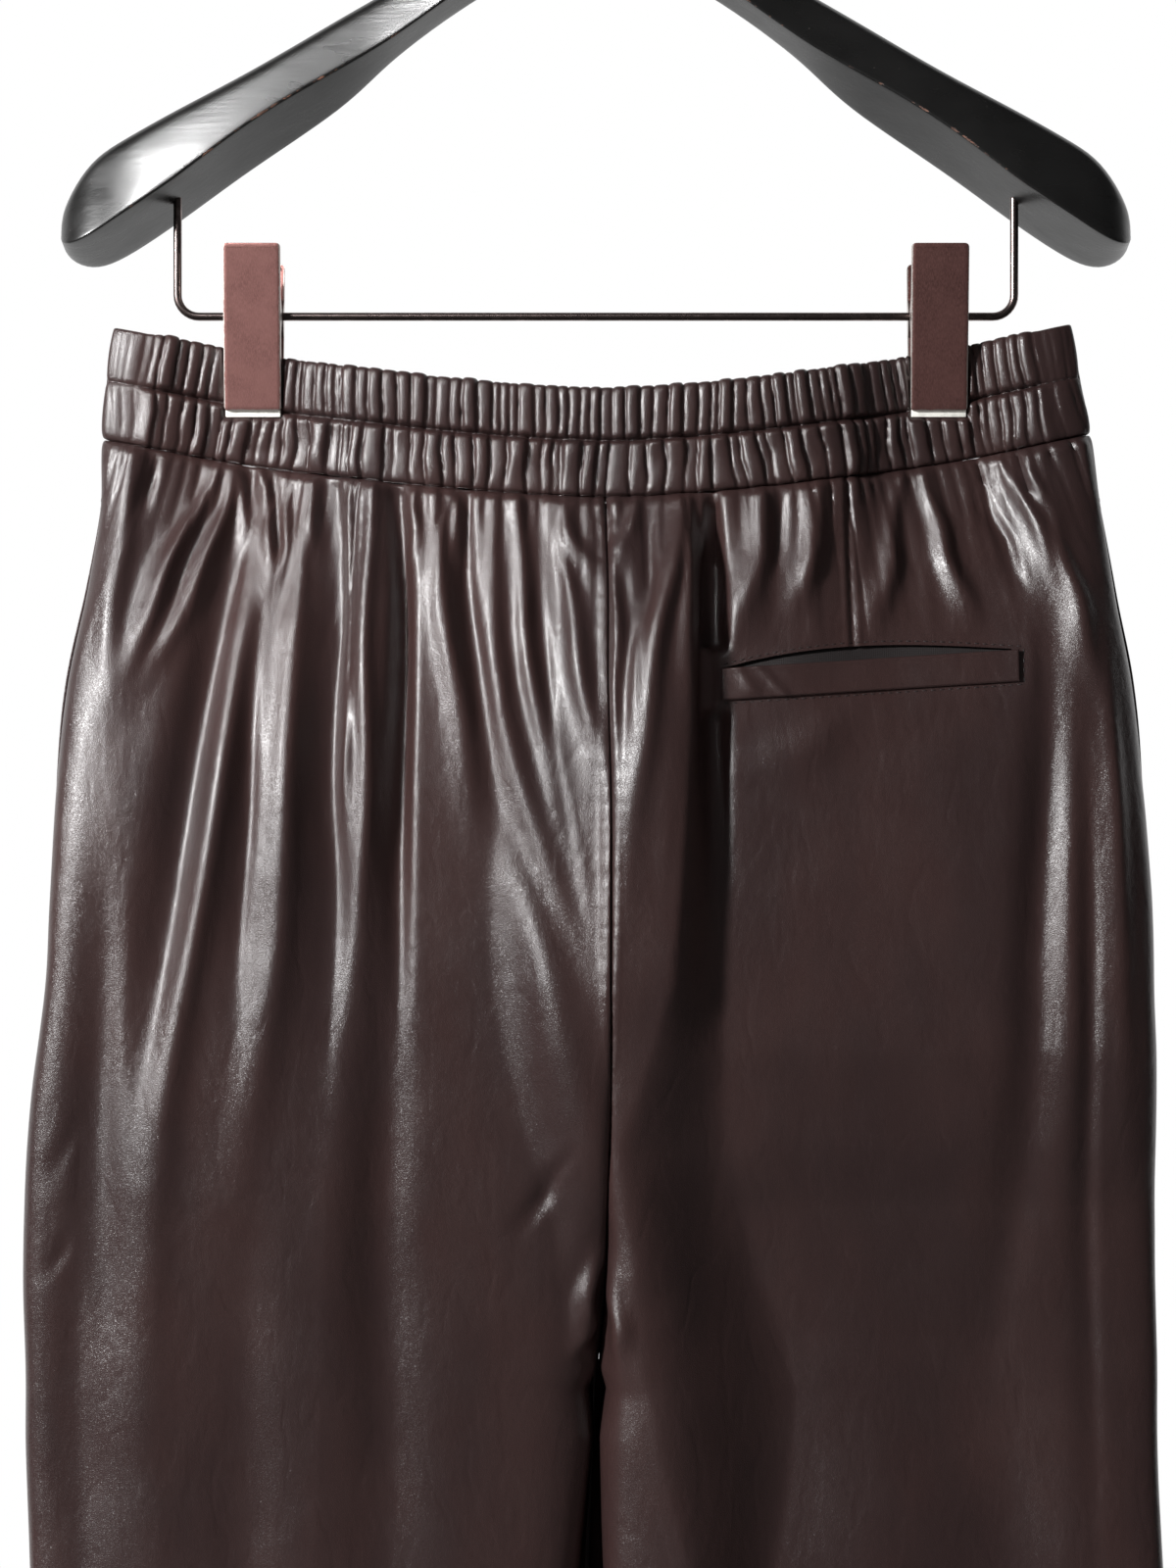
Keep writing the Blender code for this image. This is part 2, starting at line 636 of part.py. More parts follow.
def pocket_slot(panel):
    """Cuts the slit above the welt, which gapes most in its middle."""
    bm = bmesh.new()
    steps = 10
    ends = []
    for y in (-70 * MM, -10 * MM):
        upper, lower = [], []
        for k in range(steps + 1):
            x = POCKET_LEFT + 3 + (POCKET_RIGHT - POCKET_LEFT - 6) * k / steps
            gape = 0.8 + (SLOT_GAPE - 0.8) * math.sin(math.pi * k / steps)
            upper.append(bm.verts.new((x * MM, y, (pocket_line(x) + gape) * MM)))
            lower.append(bm.verts.new((x * MM, y, (pocket_line(x) - 2.0) * MM)))
        ends.append(upper + lower[::-1])
        bm.faces.new(ends[-1])
    for k in range(len(ends[0])):
        n = (k + 1) % len(ends[0])
        bm.faces.new((ends[0][k], ends[0][n], ends[1][n], ends[1][k]))
    cutter = bpy.data.objects.new("pocket_slot_cutter", closed_mesh("pocket_slot_cutter", bm))
    cutter.hide_render = True
    cutter.display_type = "WIRE"
    bpy.context.collection.objects.link(cutter)
    cut = panel.modifiers.new("pocket slot", "BOOLEAN")
    cut.operation = "DIFFERENCE"
    cut.object = cutter


def side_facing(name, form, parent):
    """A strip behind the side pocket's opening, bridging the back and front edges inside."""
    heights = np.linspace(SIDE_POCKET_TOP - 4, SIDE_POCKET_END + 4, 9)
    offs = np.array([-9.0, -3.0, 3.0, 9.0])
    length = form.at_height(form.length, heights)
    share = form.seam_share(heights)[:, None] + offs[None, :] / length[:, None]
    height = np.repeat(heights[:, None], len(offs), axis=1)
    normal = form.normal(share, height)
    skin = form.place(share, height) + normal * folds_at(form, share, height)[..., None]
    behind = CLOTH + 1.4
    outer, inner = skin - normal * behind, skin - normal * (behind + FACING_THICK)
    return wall(name, outer, inner, lining_cloth(), parent)


def garment():
    group = bpy.data.objects.new("shorts", None)
    bpy.context.collection.objects.link(group)
    left, right = HalfForm(-1), HalfForm(1)
    leg_panel("back_left", left, False, BACK_ROWS, BACK_COLUMNS, group)
    back_right = leg_panel("back_right", right, False, BACK_ROWS, BACK_COLUMNS, group)
    leg_panel("front_left", left, True, FRONT_ROWS, FRONT_COLUMNS, group)
    leg_panel("front_right", right, True, FRONT_ROWS, FRONT_COLUMNS, group)
    back_waistband((left, right), group)
    front_waistband((left, right), group)
    pocket_slot(back_right)
    pocket_welt(right, group)
    pocket_facing(right, group)
    side_facing("side_pocket_facing_left", left, group)
    side_facing("side_pocket_facing_right", right, group)


def hanger_column(name, reach):
    column = HANGER_COLUMNS.index(name)
    return float(cubic([-row[0] for row in HANGER_SECTIONS], [row[column] for row in HANGER_SECTIONS], -reach))


def hanger_wood(parent):
    end = HANGER_SECTIONS[-1][0]
    reaches = [end * math.sin(math.pi / 2 * k / HANGER_STATIONS) for k in range(HANGER_STATIONS + 1)]
    stations = [-r for r in reaches[:0:-1]] + reaches
    bm = bmesh.new()
    rings = []
    for x in stations:
        top, front_low, back_low, depth = (
            hanger_column(name, abs(x)) for name in ("top", "front_low", "back_low", "depth")
        )
        edge = min(HANGER_EDGE, 0.3 * (top - front_low))
        half = depth / 2
        outline = [
            (0.30 * half, top), (-0.55 * half, top), (-0.86 * half, top - 0.4 * edge),
            (-half, top - 1.4 * edge), (-half, front_low + 0.5 * edge), (-0.93 * half, front_low),
            (0.80 * half, back_low), (half, back_low + edge), (half, top - 1.2 * edge),
            (0.80 * half, top - 0.3 * edge),
        ]
        ring = [bm.verts.new((x * MM, y * MM, z * MM)) for y, z in outline]
        rings.append(ring)
    count = len(rings[0])
    for a, b in zip(rings, rings[1:]):
        for k in range(count):
            n = (k + 1) % count
            bm.faces.new((a[k], a[n], b[n], b[k]))
    bm.faces.new(rings[0])
    bm.faces.new(rings[-1])
    wood = add_object("hanger_wood", closed_mesh("hanger_wood", bm), black_lacquer(), parent)
    sockets = (
        ("hook_socket", 0, HOOK_WIRE, HOOK_STEM_FOOT - 1, -50),
        ("bar_socket_left", -BAR_REACH, BAR_WIRE, -240, BAR_FOOT + 1),
        ("bar_socket_right", BAR_REACH, BAR_WIRE, -240, BAR_FOOT + 1),
    )
    for name, x, wire, low, high in sockets:
        bpy.ops.mesh.primitive_cylinder_add(
            vertices=WIRE_SIDES,
            radius=(wire / 2 + SOCKET_CLEARANCE) * MM / math.cos(math.pi / WIRE_SIDES),
            depth=(high - low) * MM,
            location=(x * MM, 0, (high + low) / 2 * MM),
        )
        cutter = bpy.context.object
        cutter.name = name
        cutter.hide_render = True
        cutter.display_type = "WIRE"
        cut = wood.modifiers.new(name, "BOOLEAN")
        cut.operation = "DIFFERENCE"
        cut.object = cutter
    smooth_lines(wood, 40)


def wire(name, points, diameter, finish, parent):
    """A round wire along points in millimetres."""
    curve = bpy.data.curves.new(name, "CURVE")
    curve.dimensions = "3D"
    spline = curve.splines.new("POLY")
    spline.points.add(len(points) - 1)
    for point, (x, y, z) in zip(spline.points, points):
        point.co = (x * MM, y * MM, z * MM, 1)
    curve.bevel_depth = diameter / 2 * MM
    curve.bevel_resolution = 3
    curve.use_fill_caps = True
    return add_object(name, curve, finish, parent)


def arc(centre_x, centre_z, radius, start, end, steps):
    angles = [math.radians(start + (end - start) * k / steps) for k in range(steps + 1)]
    return [(centre_x + radius * math.cos(a), 0, centre_z + radius * math.sin(a)) for a in angles]


def hanger_hook(parent):
    radius = HOOK_INSIDE + HOOK_WIRE / 2
    centre = -HOOK_INSIDE
    foot = (0, 0, HOOK_STEM_FOOT)
    stem = [foot, (0, 0, HOOK_STEM_FOOT + 12), (0, 0, centre - radius - 9), (1.2, 0, centre - radius - 4)]
    loop = arc(0, centre, radius, -75, HOOK_END_ANGLE, 30)
    wire("hanger_hook", stem + loop, HOOK_WIRE, dark_wire(), parent)


def hanger_bar(parent):
    bend_z = BAR_Z + BAR_BEND
    left = arc(-BAR_REACH + BAR_BEND, bend_z, BAR_BEND, 180, 270, 6)
    right = arc(BAR_REACH - BAR_BEND, bend_z, BAR_BEND, -90, 0, 6)
    points = [(-BAR_REACH, 0, BAR_FOOT)] + left + right + [(BAR_REACH, 0, BAR_FOOT)]
    wire("hanger_bar", points, BAR_WIRE, dark_wire(), parent)


def clip_plate(name, x, facing, top, parent):
    """A clip's plate with its edges turned in, wider at the ears that straddle the bar. facing is
    -1 for the plate over the garment's back and 1 for the one over its front."""
    depth = CLIP_BACK_DEPTH if facing < 0 else CLIP_FRONT_DEPTH
    low_y = depth + 0.3 + PAD_THICK + 0.3
    half = CLIP_WIDTH / 2

    def face_y(z):
        return low_y + (CLIP_SPREAD_TOP - low_y) * (z - CLIP_LOW) / (CLIP_TOP - CLIP_LOW)

    ear_low, ear_high = BAR_Z - CLIP_EAR / 2, BAR_Z + CLIP_EAR / 2
    profile = [
        (CLIP_LOW, 0.4), (CLIP_LOW + PAD_HEIGHT, 0.4), (ear_low, 2.0), (BAR_Z, None),
        (ear_high, 2.0), (top - 4, 2.0), (top, 1.0),
    ]
    bm = bmesh.new()
    rings = []
    for z, turned in profile:
        inside = face_y(z)
        rim = BAR_WIRE / 2 + 0.3 if turned is None else inside - turned
        section_points = [
            (-half, inside + CLIP_SHEET), (half, inside + CLIP_SHEET), (half, rim),
            (half - CLIP_SHEET, rim), (half - CLIP_SHEET, inside), (CLIP_SHEET - half, inside),
            (CLIP_SHEET - half, rim), (-half, rim),
        ]
        rings.append([bm.verts.new(((x + u) * MM, facing * v * MM, z * MM)) for u, v in section_points])
    count = len(rings[0])
    for a, b in zip(rings, rings[1:]):
        for k in range(count):
            n = (k + 1) % count
            bm.faces.new((a[k], a[n], b[n], b[k]))
    bm.faces.new(rings[0])
    bm.faces.new(rings[-1])
    add_object(name, closed_mesh(name, bm), bronze_plate(), parent)


def clip_pad_block(name, x, facing, parent):
    """The soft pad between a plate and the waistband, showing as a pale line under the plate."""
    depth = CLIP_BACK_DEPTH if facing < 0 else CLIP_FRONT_DEPTH
    centre = facing * (depth + 0.3 + PAD_THICK / 2)
    low = CLIP_LOW - PAD_BELOW
    high = CLIP_LOW + PAD_HEIGHT
    width = CLIP_WIDTH - 2 * CLIP_SHEET - 0.8
    bpy.ops.mesh.primitive_cube_add(size=1)
    pad = bpy.context.object
    pad.name = name
    pad.data.transform(
        ((width * MM, 0, 0, 0), (0, PAD_THICK * MM, 0, 0), (0, 0, (high - low) * MM, 0), (0, 0, 0, 1))
    )
    pad.location = (x * MM, centre * MM, (high + low) / 2 * MM)
    pad.data.materials.append(clip_pad())
    pad.parent = parent


def clip_spring(name, x, parent):
    """The coil round the bar, as its plain outer sleeve."""
    bm = bmesh.new()
    rings = []
    inside = BAR_WIRE / 2 + 0.3
    for radius, u in ((inside, -1), (SPRING_RADIUS, -1), (SPRING_RADIUS, 1), (inside, 1)):
        ring = []
        for k in range(WIRE_SIDES):
            a = 2 * math.pi * k / WIRE_SIDES
            r = radius / math.cos(math.pi / WIRE_SIDES)
            place = (x + u * SPRING_LENGTH / 2, r * math.cos(a), BAR_Z + r * math.sin(a))
            ring.append(bm.verts.new(tuple(v * MM for v in place)))
        rings.append(ring)
    for a, b in zip(rings, rings[1:] + rings[:1]):
        for k in range(WIRE_SIDES):
            n = (k + 1) % WIRE_SIDES
            bm.faces.new((a[k], a[n], b[n], b[k]))
    smooth_lines(add_object(name, closed_mesh(name, bm), dark_wire(), parent), 40)


def hanger():
    group = bpy.data.objects.new("hanger", None)
    bpy.context.collection.objects.link(group)
    hanger_wood(group)
    hanger_hook(group)
    hanger_bar(group)
    for label, x in (("left", -CLIP_X), ("right", CLIP_X)):
        clip_plate(f"clip_{label}_back_plate", x, -1, CLIP_TOP, group)
        clip_plate(f"clip_{label}_front_plate", x, 1, CLIP_INNER_TOP, group)
        clip_pad_block(f"clip_{label}_back_pad", x, -1, group)
        clip_pad_block(f"clip_{label}_front_pad", x, 1, group)
        clip_spring(f"clip_{label}_spring", x, group)


def main():
    for obj in list(bpy.data.objects):
        bpy.data.objects.remove(obj)
    garment()
    hanger()


main()
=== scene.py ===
"""Pull-on faux leather shorts hanging from a wooden clip hanger.

Each operator below makes one piece, or one group of like pieces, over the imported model. Tables of
the garment are in millimetres, and MM turns them into metres. The back of the garment faces -Y.
"""

import math
import random

import bmesh
import bpy
import numpy as np
from bpy.props import FloatProperty, FloatVectorProperty, IntProperty, PointerProperty
from mathutils import Matrix, Vector


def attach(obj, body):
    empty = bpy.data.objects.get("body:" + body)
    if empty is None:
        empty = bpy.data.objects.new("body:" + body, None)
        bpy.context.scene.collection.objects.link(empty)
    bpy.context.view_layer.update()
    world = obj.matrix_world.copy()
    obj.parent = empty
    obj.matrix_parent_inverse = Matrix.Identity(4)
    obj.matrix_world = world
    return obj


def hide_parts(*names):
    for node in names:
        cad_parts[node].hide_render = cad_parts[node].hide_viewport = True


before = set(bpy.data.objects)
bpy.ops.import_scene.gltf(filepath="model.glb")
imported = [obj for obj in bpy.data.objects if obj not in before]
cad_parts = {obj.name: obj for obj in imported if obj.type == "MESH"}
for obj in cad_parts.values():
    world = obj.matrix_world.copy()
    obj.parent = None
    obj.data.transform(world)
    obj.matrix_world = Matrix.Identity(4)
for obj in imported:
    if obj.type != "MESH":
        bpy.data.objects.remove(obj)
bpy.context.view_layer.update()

bl_info = {
    "name": "Shorts on a Clip Hanger",
    "version": (1, 0, 0),
    "blender": (4, 5, 0),
    "location": "View3D > Sidebar > Shorts",
    "description": "Makes gathered faux leather shorts and the clip hanger that holds them",
    "category": "Add Mesh",
}

MM = 0.001


# ---- Settings ----


def color_setting(name, description, default):
    return FloatVectorProperty(
        name=name, description=description, default=default, size=3, min=0, max=1, subtype="COLOR"
    )


def length_setting(name, description, default):
    return FloatProperty(
        name=name, description=description, default=default, min=0, unit="LENGTH", precision=5
    )


def share_setting(name, description, default, high=1.0):
    return FloatProperty(
        name=name, description=description, default=default, min=0, max=high, subtype="FACTOR"
    )


def power_setting(name, description, default):
    return FloatProperty(name=name, description=description, default=default, unit="POWER")


class ShortsCloth(bpy.types.PropertyGroup):
    """Sizes and colours of the garment."""

    leather: color_setting("Leather", "Colour of the coated cloth", (0.0300, 0.0158, 0.0152))
    leather_warm: color_setting("Leather, warm", "Its warmer patches", (0.0400, 0.0200, 0.0185))
    # The facings' colour is darker than the coated cloth: partly their own colour, partly painted
    # shade of the pockets' dim insides.
    facing: color_setting("Facing", "Colour of the pocket facings", (0.011, 0.0065, 0.0064))
    thread: color_setting("Thread", "Colour of the stitching", (0.020, 0.0125, 0.0120))
    gloss: share_setting("Gloss", "Strength of the coating's clear gloss", 0.55)
    wall: length_setting("Cloth", "Thickness of the coated cloth", 0.0012)
    casing: length_setting("Casing", "Thickness of the elastic casing", 0.0026)
    fold: share_setting("Folds", "Height of the folds, as a share of their full height", 0.9, 2.0)
    pleat_pitch: length_setting("Pleat pitch", "Spacing of the gathers in the casing", 0.0046)
    pleat_height: length_setting("Pleat height", "Height of the gathers in the casing", 0.0029)
    grain: length_setting("Grain", "Size of the leather grain", 0.0006)
    stitch: length_setting("Stitch", "Length of one stitch", 0.0027)
    stitch_gap: length_setting("Stitch gap", "Space between two stitches", 0.0008)
    thread_width: length_setting("Thread width", "Thickness of the thread", 0.0006)


class ShortsHanger(bpy.types.PropertyGroup):
    """Sizes and colours of the hanger."""

    lacquer: color_setting("Lacquer", "Colour of the lacquered wood", (0.0065, 0.0063, 0.0062))
    bare_wood: color_setting("Bare wood", "Colour of the wood under it", (0.17, 0.075, 0.048))
    wire: color_setting("Wire", "Colour of the hook and the bar", (0.150, 0.118, 0.112))
    plate: color_setting("Plate", "Colour of the clips' plates", (0.335, 0.165, 0.15))
    pad: color_setting("Pad", "Colour of the clips' soft pads", (0.80, 0.79, 0.73))
    wear: share_setting("Wear", "How much lacquer has worn off the edges", 0.3)
    spring_turns: IntProperty(
        name="Spring turns", description="Turns of each coil", default=7, min=2
    )


class ShortsStage(bpy.types.PropertyGroup):
    """The floor and the lights."""

    floor: color_setting("Floor", "Colour of the floor", (0.80, 0.79, 0.78))
    key: power_setting("Key light", "Power of the main light", 150)
    fill: power_setting("Fill light", "Power of the fill light", 1.6)
    sky: share_setting("Surroundings", "Brightness of the pale surroundings", 0.06, 2.0)


# ---- The garment's form ----

SEAM_GAP = 0.3
# At each height: the reach to the left, to the right, backwards and forwards, how far the legs are
# parted from 0 to 1, and where the middle is.
SECTION_COLUMNS = ("left", "right", "back", "front", "split", "middle")
SECTIONS = (
    (-236, 200, 197, 12, 10, 0.00, 4),
    (-268, 204, 202, 13, 11, 0.00, 4),
    (-292, 206, 207, 14, 12, 0.00, 4),
    (-318, 206, 210, 19, 16, 0.00, 4),
    (-353, 211, 215, 28, 23, 0.00, 5),
    (-394, 219, 222, 35, 29, 0.00, 5),
    (-435, 223, 226, 39, 33, 0.00, 6),
    (-480, 225, 229, 41, 35, 0.00, 6),
    (-520, 227, 230, 42, 36, 0.03, 6),
    (-558, 232, 231, 42, 36, 0.12, 6),
    (-600, 235, 231, 41, 35, 0.36, 5),
    (-640, 236, 232, 39, 34, 0.74, 4),
    (-677, 235, 233, 38, 33, 1.00, 1),
    (-704, 235, 233, 37, 33, 1.00, 0),
    (-763, 233, 235, 37, 33, 1.00, -2),
    (-845, 231, 237, 37, 33, 1.00, -3),
)
# The fronts of the legs meet behind the gap between their backs, along a line that bends.
GAP_BEHIND = 0.9
GAP_BEND = 2.2
# The centre-front seam lies a little beside the centre-back one, so no light passes through both.
FRONT_SEAM_TURN = 1.4
LEG_SPACE = ((-236, 0.0), (-676, 0.0), (-684, 3.0), (-704, 1.0), (-763, 5.0), (-845, 7.0))
TOP = -236
HEM = -845
CROTCH = -676
BODY_FULLNESS = 2.7
LEG_FULLNESS = 2.3
# The back is squarer than the front, most of all beside the gap between the legs.
BACK_FULLNESS = 6.5
BACK_FLATNESS = 4.0
BACK_FLAT_FROM = -400
BACK_FLAT_OVER = 120
LEG_INNER_FULLNESS = 6.0
# Broad swellings of the back with flat tops, and a hollow, whose rise is negative: at each height
# the foot and the crest of the left flank, the crest and the foot of the right one, and the rise.
SEAT_LEDGE = (
    (-316, -16, 10, 42, 48, 0),
    (-370, -28, 8, 43, 50, 7),
    (-402, -36, 8, 40, 50, 9),
    (-476, -44, 8, 34, 50, 13),
    (-517, -43, 7, 30, 51, 15.5),
    (-545, -37, 5, 22, 52, 14),
    (-585, -27, 2, 9, 52, 11),
    (-612, -18, 1, 5, 48, 7),
    (-650, -14, 0, 2, 40, 0),
)
PLEAT_LEDGE = (
    (-500, -214, -180, -110, -86, 0),
    (-600, -212, -180, -110, -82, 4),
    (-700, -212, -178, -113, -82, 4.5),
    (-845, -210, -176, -118, -86, 3.5),
)
LEG_LEDGE = (
    (-585, 0, 8, 12, 52, 0),
    (-607, 0, 8, 14, 60, 4),
    (-636, 0, 9, 15, 66, 11),
    (-661, 0, 9, 14, 76, 13),
    (-689, -4, 10, 22, 82, 12),
    (-722, -8, 10, 30, 79, 10),
    (-755, -10, 8, 38, 74, 9),
    (-845, -12, 6, 42, 68, 7),
)
LEG_HOLLOW = (
    (-545, 22, 52, 236, 240, 0),
    (-585, 8, 54, 236, 240, -6),
    (-607, 12, 60, 236, 240, -12),
    (-636, 15, 66, 236, 240, -15),
    (-661, 14, 76, 236, 240, -17),
    (-689, 22, 82, 236, 240, -17),
    (-722, 30, 79, 236, 240, -15),
    (-755, 38, 74, 236, 240, -12),
    (-845, 42, 68, 236, 240, -6),
)
SEAM_LEDGE = (
    (-318, 0, 27, 31, 46, 0),
    (-345, 0, 27, 31, 47, 5),
    (-402, 0, 23, 30, 49, 7),
    (-450, 0, 17, 28, 49, 4.5),
    (-500, 0, 9, 26, 49, 2),
    (-540, 0, 6, 20, 50, 0),
)
BACK_LEDGES = (SEAT_LEDGE, SEAM_LEDGE, PLEAT_LEDGE, LEG_LEDGE, LEG_HOLLOW)

BAND_TOP = -271
BAND_SEAM = -316
BAND_DEPTH = BAND_TOP - BAND_SEAM
BAND_CENTRE = 4
BAND_REACH = 204
BAND_RISE_LEFT = 26
BAND_RISE_RIGHT = 30
BAND_RISE_POWER = 1.6
BAND_SEAM_SHARE = 0.9
BAND_RISE_FADE = 190
# How far the side seams lie round to the back.
SEAM_TURN = ((-236, 6.0), (-292, 6.0), (-318, 3.0), (-345, 1.6), (-845, 2.4))

CLIP_X = 143
CLIP_HOLD = 14
CLIP_BACK_DEPTH = 3.4
CLIP_FRONT_DEPTH = 2.6
CLIP_PINCH = ((-236, 1.0), (-296, 1.0), (-330, 0.52), (-370, 0.22), (-420, 0.05), (-470, 0.0))
CLIP_SPREAD = ((-236, 34), (-300, 38), (-360, 52), (-470, 60), (-845, 60))


def cubic(heights, values, at):
    """Catmull-Rom interpolation of a column whose heights run downwards."""
    knots = -np.asarray(heights, float)
    values = np.asarray(values, float)
    slopes = np.gradient(values, knots)
    where = np.clip(-np.asarray(at, float), knots[0], knots[-1])
    k = np.clip(np.searchsorted(knots, where, side="right") - 1, 0, len(knots) - 2)
    step = knots[k + 1] - knots[k]
    t = (where - knots[k]) / step
    return (
        (2 * t**3 - 3 * t**2 + 1) * values[k]
        + (t**3 - 2 * t**2 + t) * step * slopes[k]
        + (3 * t**2 - 2 * t**3) * values[k + 1]
        + (t**3 - t**2) * step * slopes[k + 1]
    )


def section(name, height):
    """A column of the garment's sections, read at a height."""
    heights, *columns = zip(*SECTIONS)
    return cubic(heights, columns[SECTION_COLUMNS.index(name)], height)


def taper(rows, height):
    """A two-column table read at a height, in straight steps."""
    table = np.asarray(rows, float)[::-1]
    return np.interp(height, table[:, 0], table[:, 1])


def smooth(t):
    t = np.clip(t, 0, 1)
    return t * t * (3 - 2 * t)


def bump(off, width):
    return np.exp(-((off / width) ** 2))


def clip_grip(x, height):
    """1 where a clip presses the layers together, 0 away from it."""
    off = np.maximum(np.abs(np.abs(x) - CLIP_X) - CLIP_HOLD, 0)
    return taper(CLIP_PINCH, height) * (1 - smooth(off / taper(CLIP_SPREAD, height)))


def ledge(rows, x, height):
    """How far a broad swelling of the back stands out at a height."""
    heights, *columns = np.asarray(rows, float)[::-1].T
    foot, crest, far_crest, far_foot, rise = (np.interp(height, heights, c) for c in columns)
    left = np.clip((x - foot) / (crest - foot), 0, 1)
    right = np.clip((far_foot - x) / (far_foot - far_crest), 0, 1)
    flank = np.minimum(left, right)
    return rise * (flank + smooth(flank)) / 2


def rounded(off, fullness):
    """The quarter of a rounded square: 1 at its middle, 0 at its end."""
    return np.clip(1 - off**fullness, 0, 1) ** (1 / fullness)


def half_ring(side, height, steps=240):
    """One half of the garment's outline at a height, from the middle back round to the middle
    front: points spaced evenly along it, its length, and the share of it at its widest."""
    outer = section("right" if side > 0 else "left", height)
    inner = section("middle", height) * side + taper(LEG_SPACE, height)
    split = np.clip(section("split", height), 0, 1)
    wave = (1 - np.cos(np.pi * np.linspace(0, 1, steps))) / 2
    reach = inner + (outer - inner) * wave
    off = np.abs(2 * wave - 1)
    front_form = (1 - split) * rounded(wave, BODY_FULLNESS) + split * rounded(off, LEG_FULLNESS)
    fullness = BACK_FULLNESS + BACK_FLATNESS * smooth((BACK_FLAT_FROM - height) / BACK_FLAT_OVER)
    leg_form = np.where(wave < 0.5, rounded(off, LEG_INNER_FULLNESS), rounded(off, fullness))
    back_form = (1 - split) * rounded(wave, fullness) + split * leg_form
    grip = clip_grip(reach, height)
    seat = sum(ledge(rows, side * reach, height) for rows in BACK_LEDGES)
    back = back_form * ((section("back", height) + seat) * (1 - grip) + CLIP_BACK_DEPTH * grip)
    front = front_form * (section("front", height) * (1 - grip) + CLIP_FRONT_DEPTH * grip)
    x = side * np.concatenate([reach, reach[-2::-1]])
    y = np.concatenate([-back, front[-2::-1]])
    along = np.concatenate([[0], np.cumsum(np.hypot(np.diff(x), np.diff(y)))])
    girth = along[-1]
    even = np.linspace(0, girth, 2 * steps)
    return np.interp(even, along, x), np.interp(even, along, y), girth, along[steps - 1] / girth


class HalfForm:
    """The smooth outer form of one half of the garment. A place on it is a share of the way round,
    from 0 at the middle back to 1 at the middle front, and a height."""

    STEP = 4
    PROBE_SHARE = 0.004
    PROBE_DROP = 3

    def __init__(self, side):
        self.side = side
        self.heights = np.arange(TOP, HEM - self.STEP - 1, -self.STEP, dtype=float)
        rings = zip(*(half_ring(side, height) for height in self.heights))
        self.x, self.y, self.length, self.side_point = (np.array(column) for column in rings)

    def read(self, table, share, height):
        row = np.clip((self.heights[0] - height) / self.STEP, 0, len(self.heights) - 1.001)
        column = np.clip(share, 0, 1) * (table.shape[1] - 1)
        r0 = row.astype(int)
        c0 = np.minimum(column.astype(int), table.shape[1] - 2)
        dr, dc = row - r0, column - c0
        upper = table[r0, c0] * (1 - dc) + table[r0, c0 + 1] * dc
        lower = table[r0 + 1, c0] * (1 - dc) + table[r0 + 1, c0 + 1] * dc
        return upper * (1 - dr) + lower * dr

    def at_height(self, column, height):
        return np.interp(-np.asarray(height, float), -self.heights, column)

    def girth(self, height):
        """The way round from the middle back to the middle front."""
        return self.at_height(self.length, height)

    def seam_share(self, height):
        """Where the side seam is."""
        turn = taper(SEAM_TURN, height) / self.girth(height)
        return self.at_height(self.side_point, height) - turn

    def beside_seam(self, off, height):
        """The share at a distance from the side seam, towards the front."""
        return self.seam_share(height) + off / self.girth(height)

    def from_middle(self, share, height):
        """The distance round the cloth to the nearer middle."""
        return np.minimum(share, 1 - share) * self.girth(height)

    def place(self, share, height):
        x = self.read(self.x, share, height)
        y = self.read(self.y, share, height)
        return np.stack([x, y, np.asarray(height, float) + 0 * x], axis=-1)

    def slope(self, share, height):
        """The direction down the form."""
        drop = self.PROBE_DROP
        return self.place(share, height - drop) - self.place(share, height + drop)

    def normal(self, share, height):
        """The outward direction, square to the form."""
        low, high = np.clip(share - self.PROBE_SHARE, 0, 1), np.clip(share + self.PROBE_SHARE, 0, 1)
        round_it = self.place(high, height) - self.place(low, height)
        down = self.slope(share, height)
        n = np.cross(down, round_it) * self.side
        return n / np.linalg.norm(n, axis=-1, keepdims=True)

    def share_of(self, x, height):
        """The share at which the back is this far across at this height."""
        across = self.x * self.side
        turn = int(np.argmax(across[len(across) // 2]))
        shares = np.linspace(0, 1, across.shape[1])
        x, height = np.broadcast_arrays(np.asarray(x, float), np.asarray(height, float))
        found = np.empty(x.shape)
        for where in np.ndindex(x.shape):
            row = (self.heights[0] - height[where]) / self.STEP
            r0 = int(np.clip(row, 0, len(self.heights) - 2))
            ring = across[r0] * (1 - row + r0) + across[r0 + 1] * (row - r0)
            found[where] = np.interp(x[where] * self.side, ring[: turn + 1], shares[: turn + 1])
        return found


def rise_at(x):
    """How much higher the waist is than at its middle."""
    off = np.abs(x - BAND_CENTRE) / BAND_REACH
    return np.where(x < BAND_CENTRE, BAND_RISE_LEFT, BAND_RISE_RIGHT) * off**BAND_RISE_POWER


def seam_line(x):
    """The height of the seam under the waistband."""
    return BAND_SEAM + rise_at(x) * BAND_SEAM_SHARE


def band_height(x, down):
    """The height of a row of a waistband."""
    top = BAND_TOP + rise_at(x)
    return top + (seam_line(x) + SEAM_GAP / 2 - top) * down


def panel_height(x, down):
    """The height of a row of a leg panel, bent like the waist at the top and level at the hem."""
    level = BAND_SEAM - SEAM_GAP / 2 + (HEM - BAND_SEAM) * down
    fade = 1 - smooth((BAND_SEAM - level) / BAND_RISE_FADE)
    return level + rise_at(x) * BAND_SEAM_SHARE * fade


# Heights depend on how far across a point is, and that on its height, so both are found in rounds.
LAYOUT_ROUNDS = 4


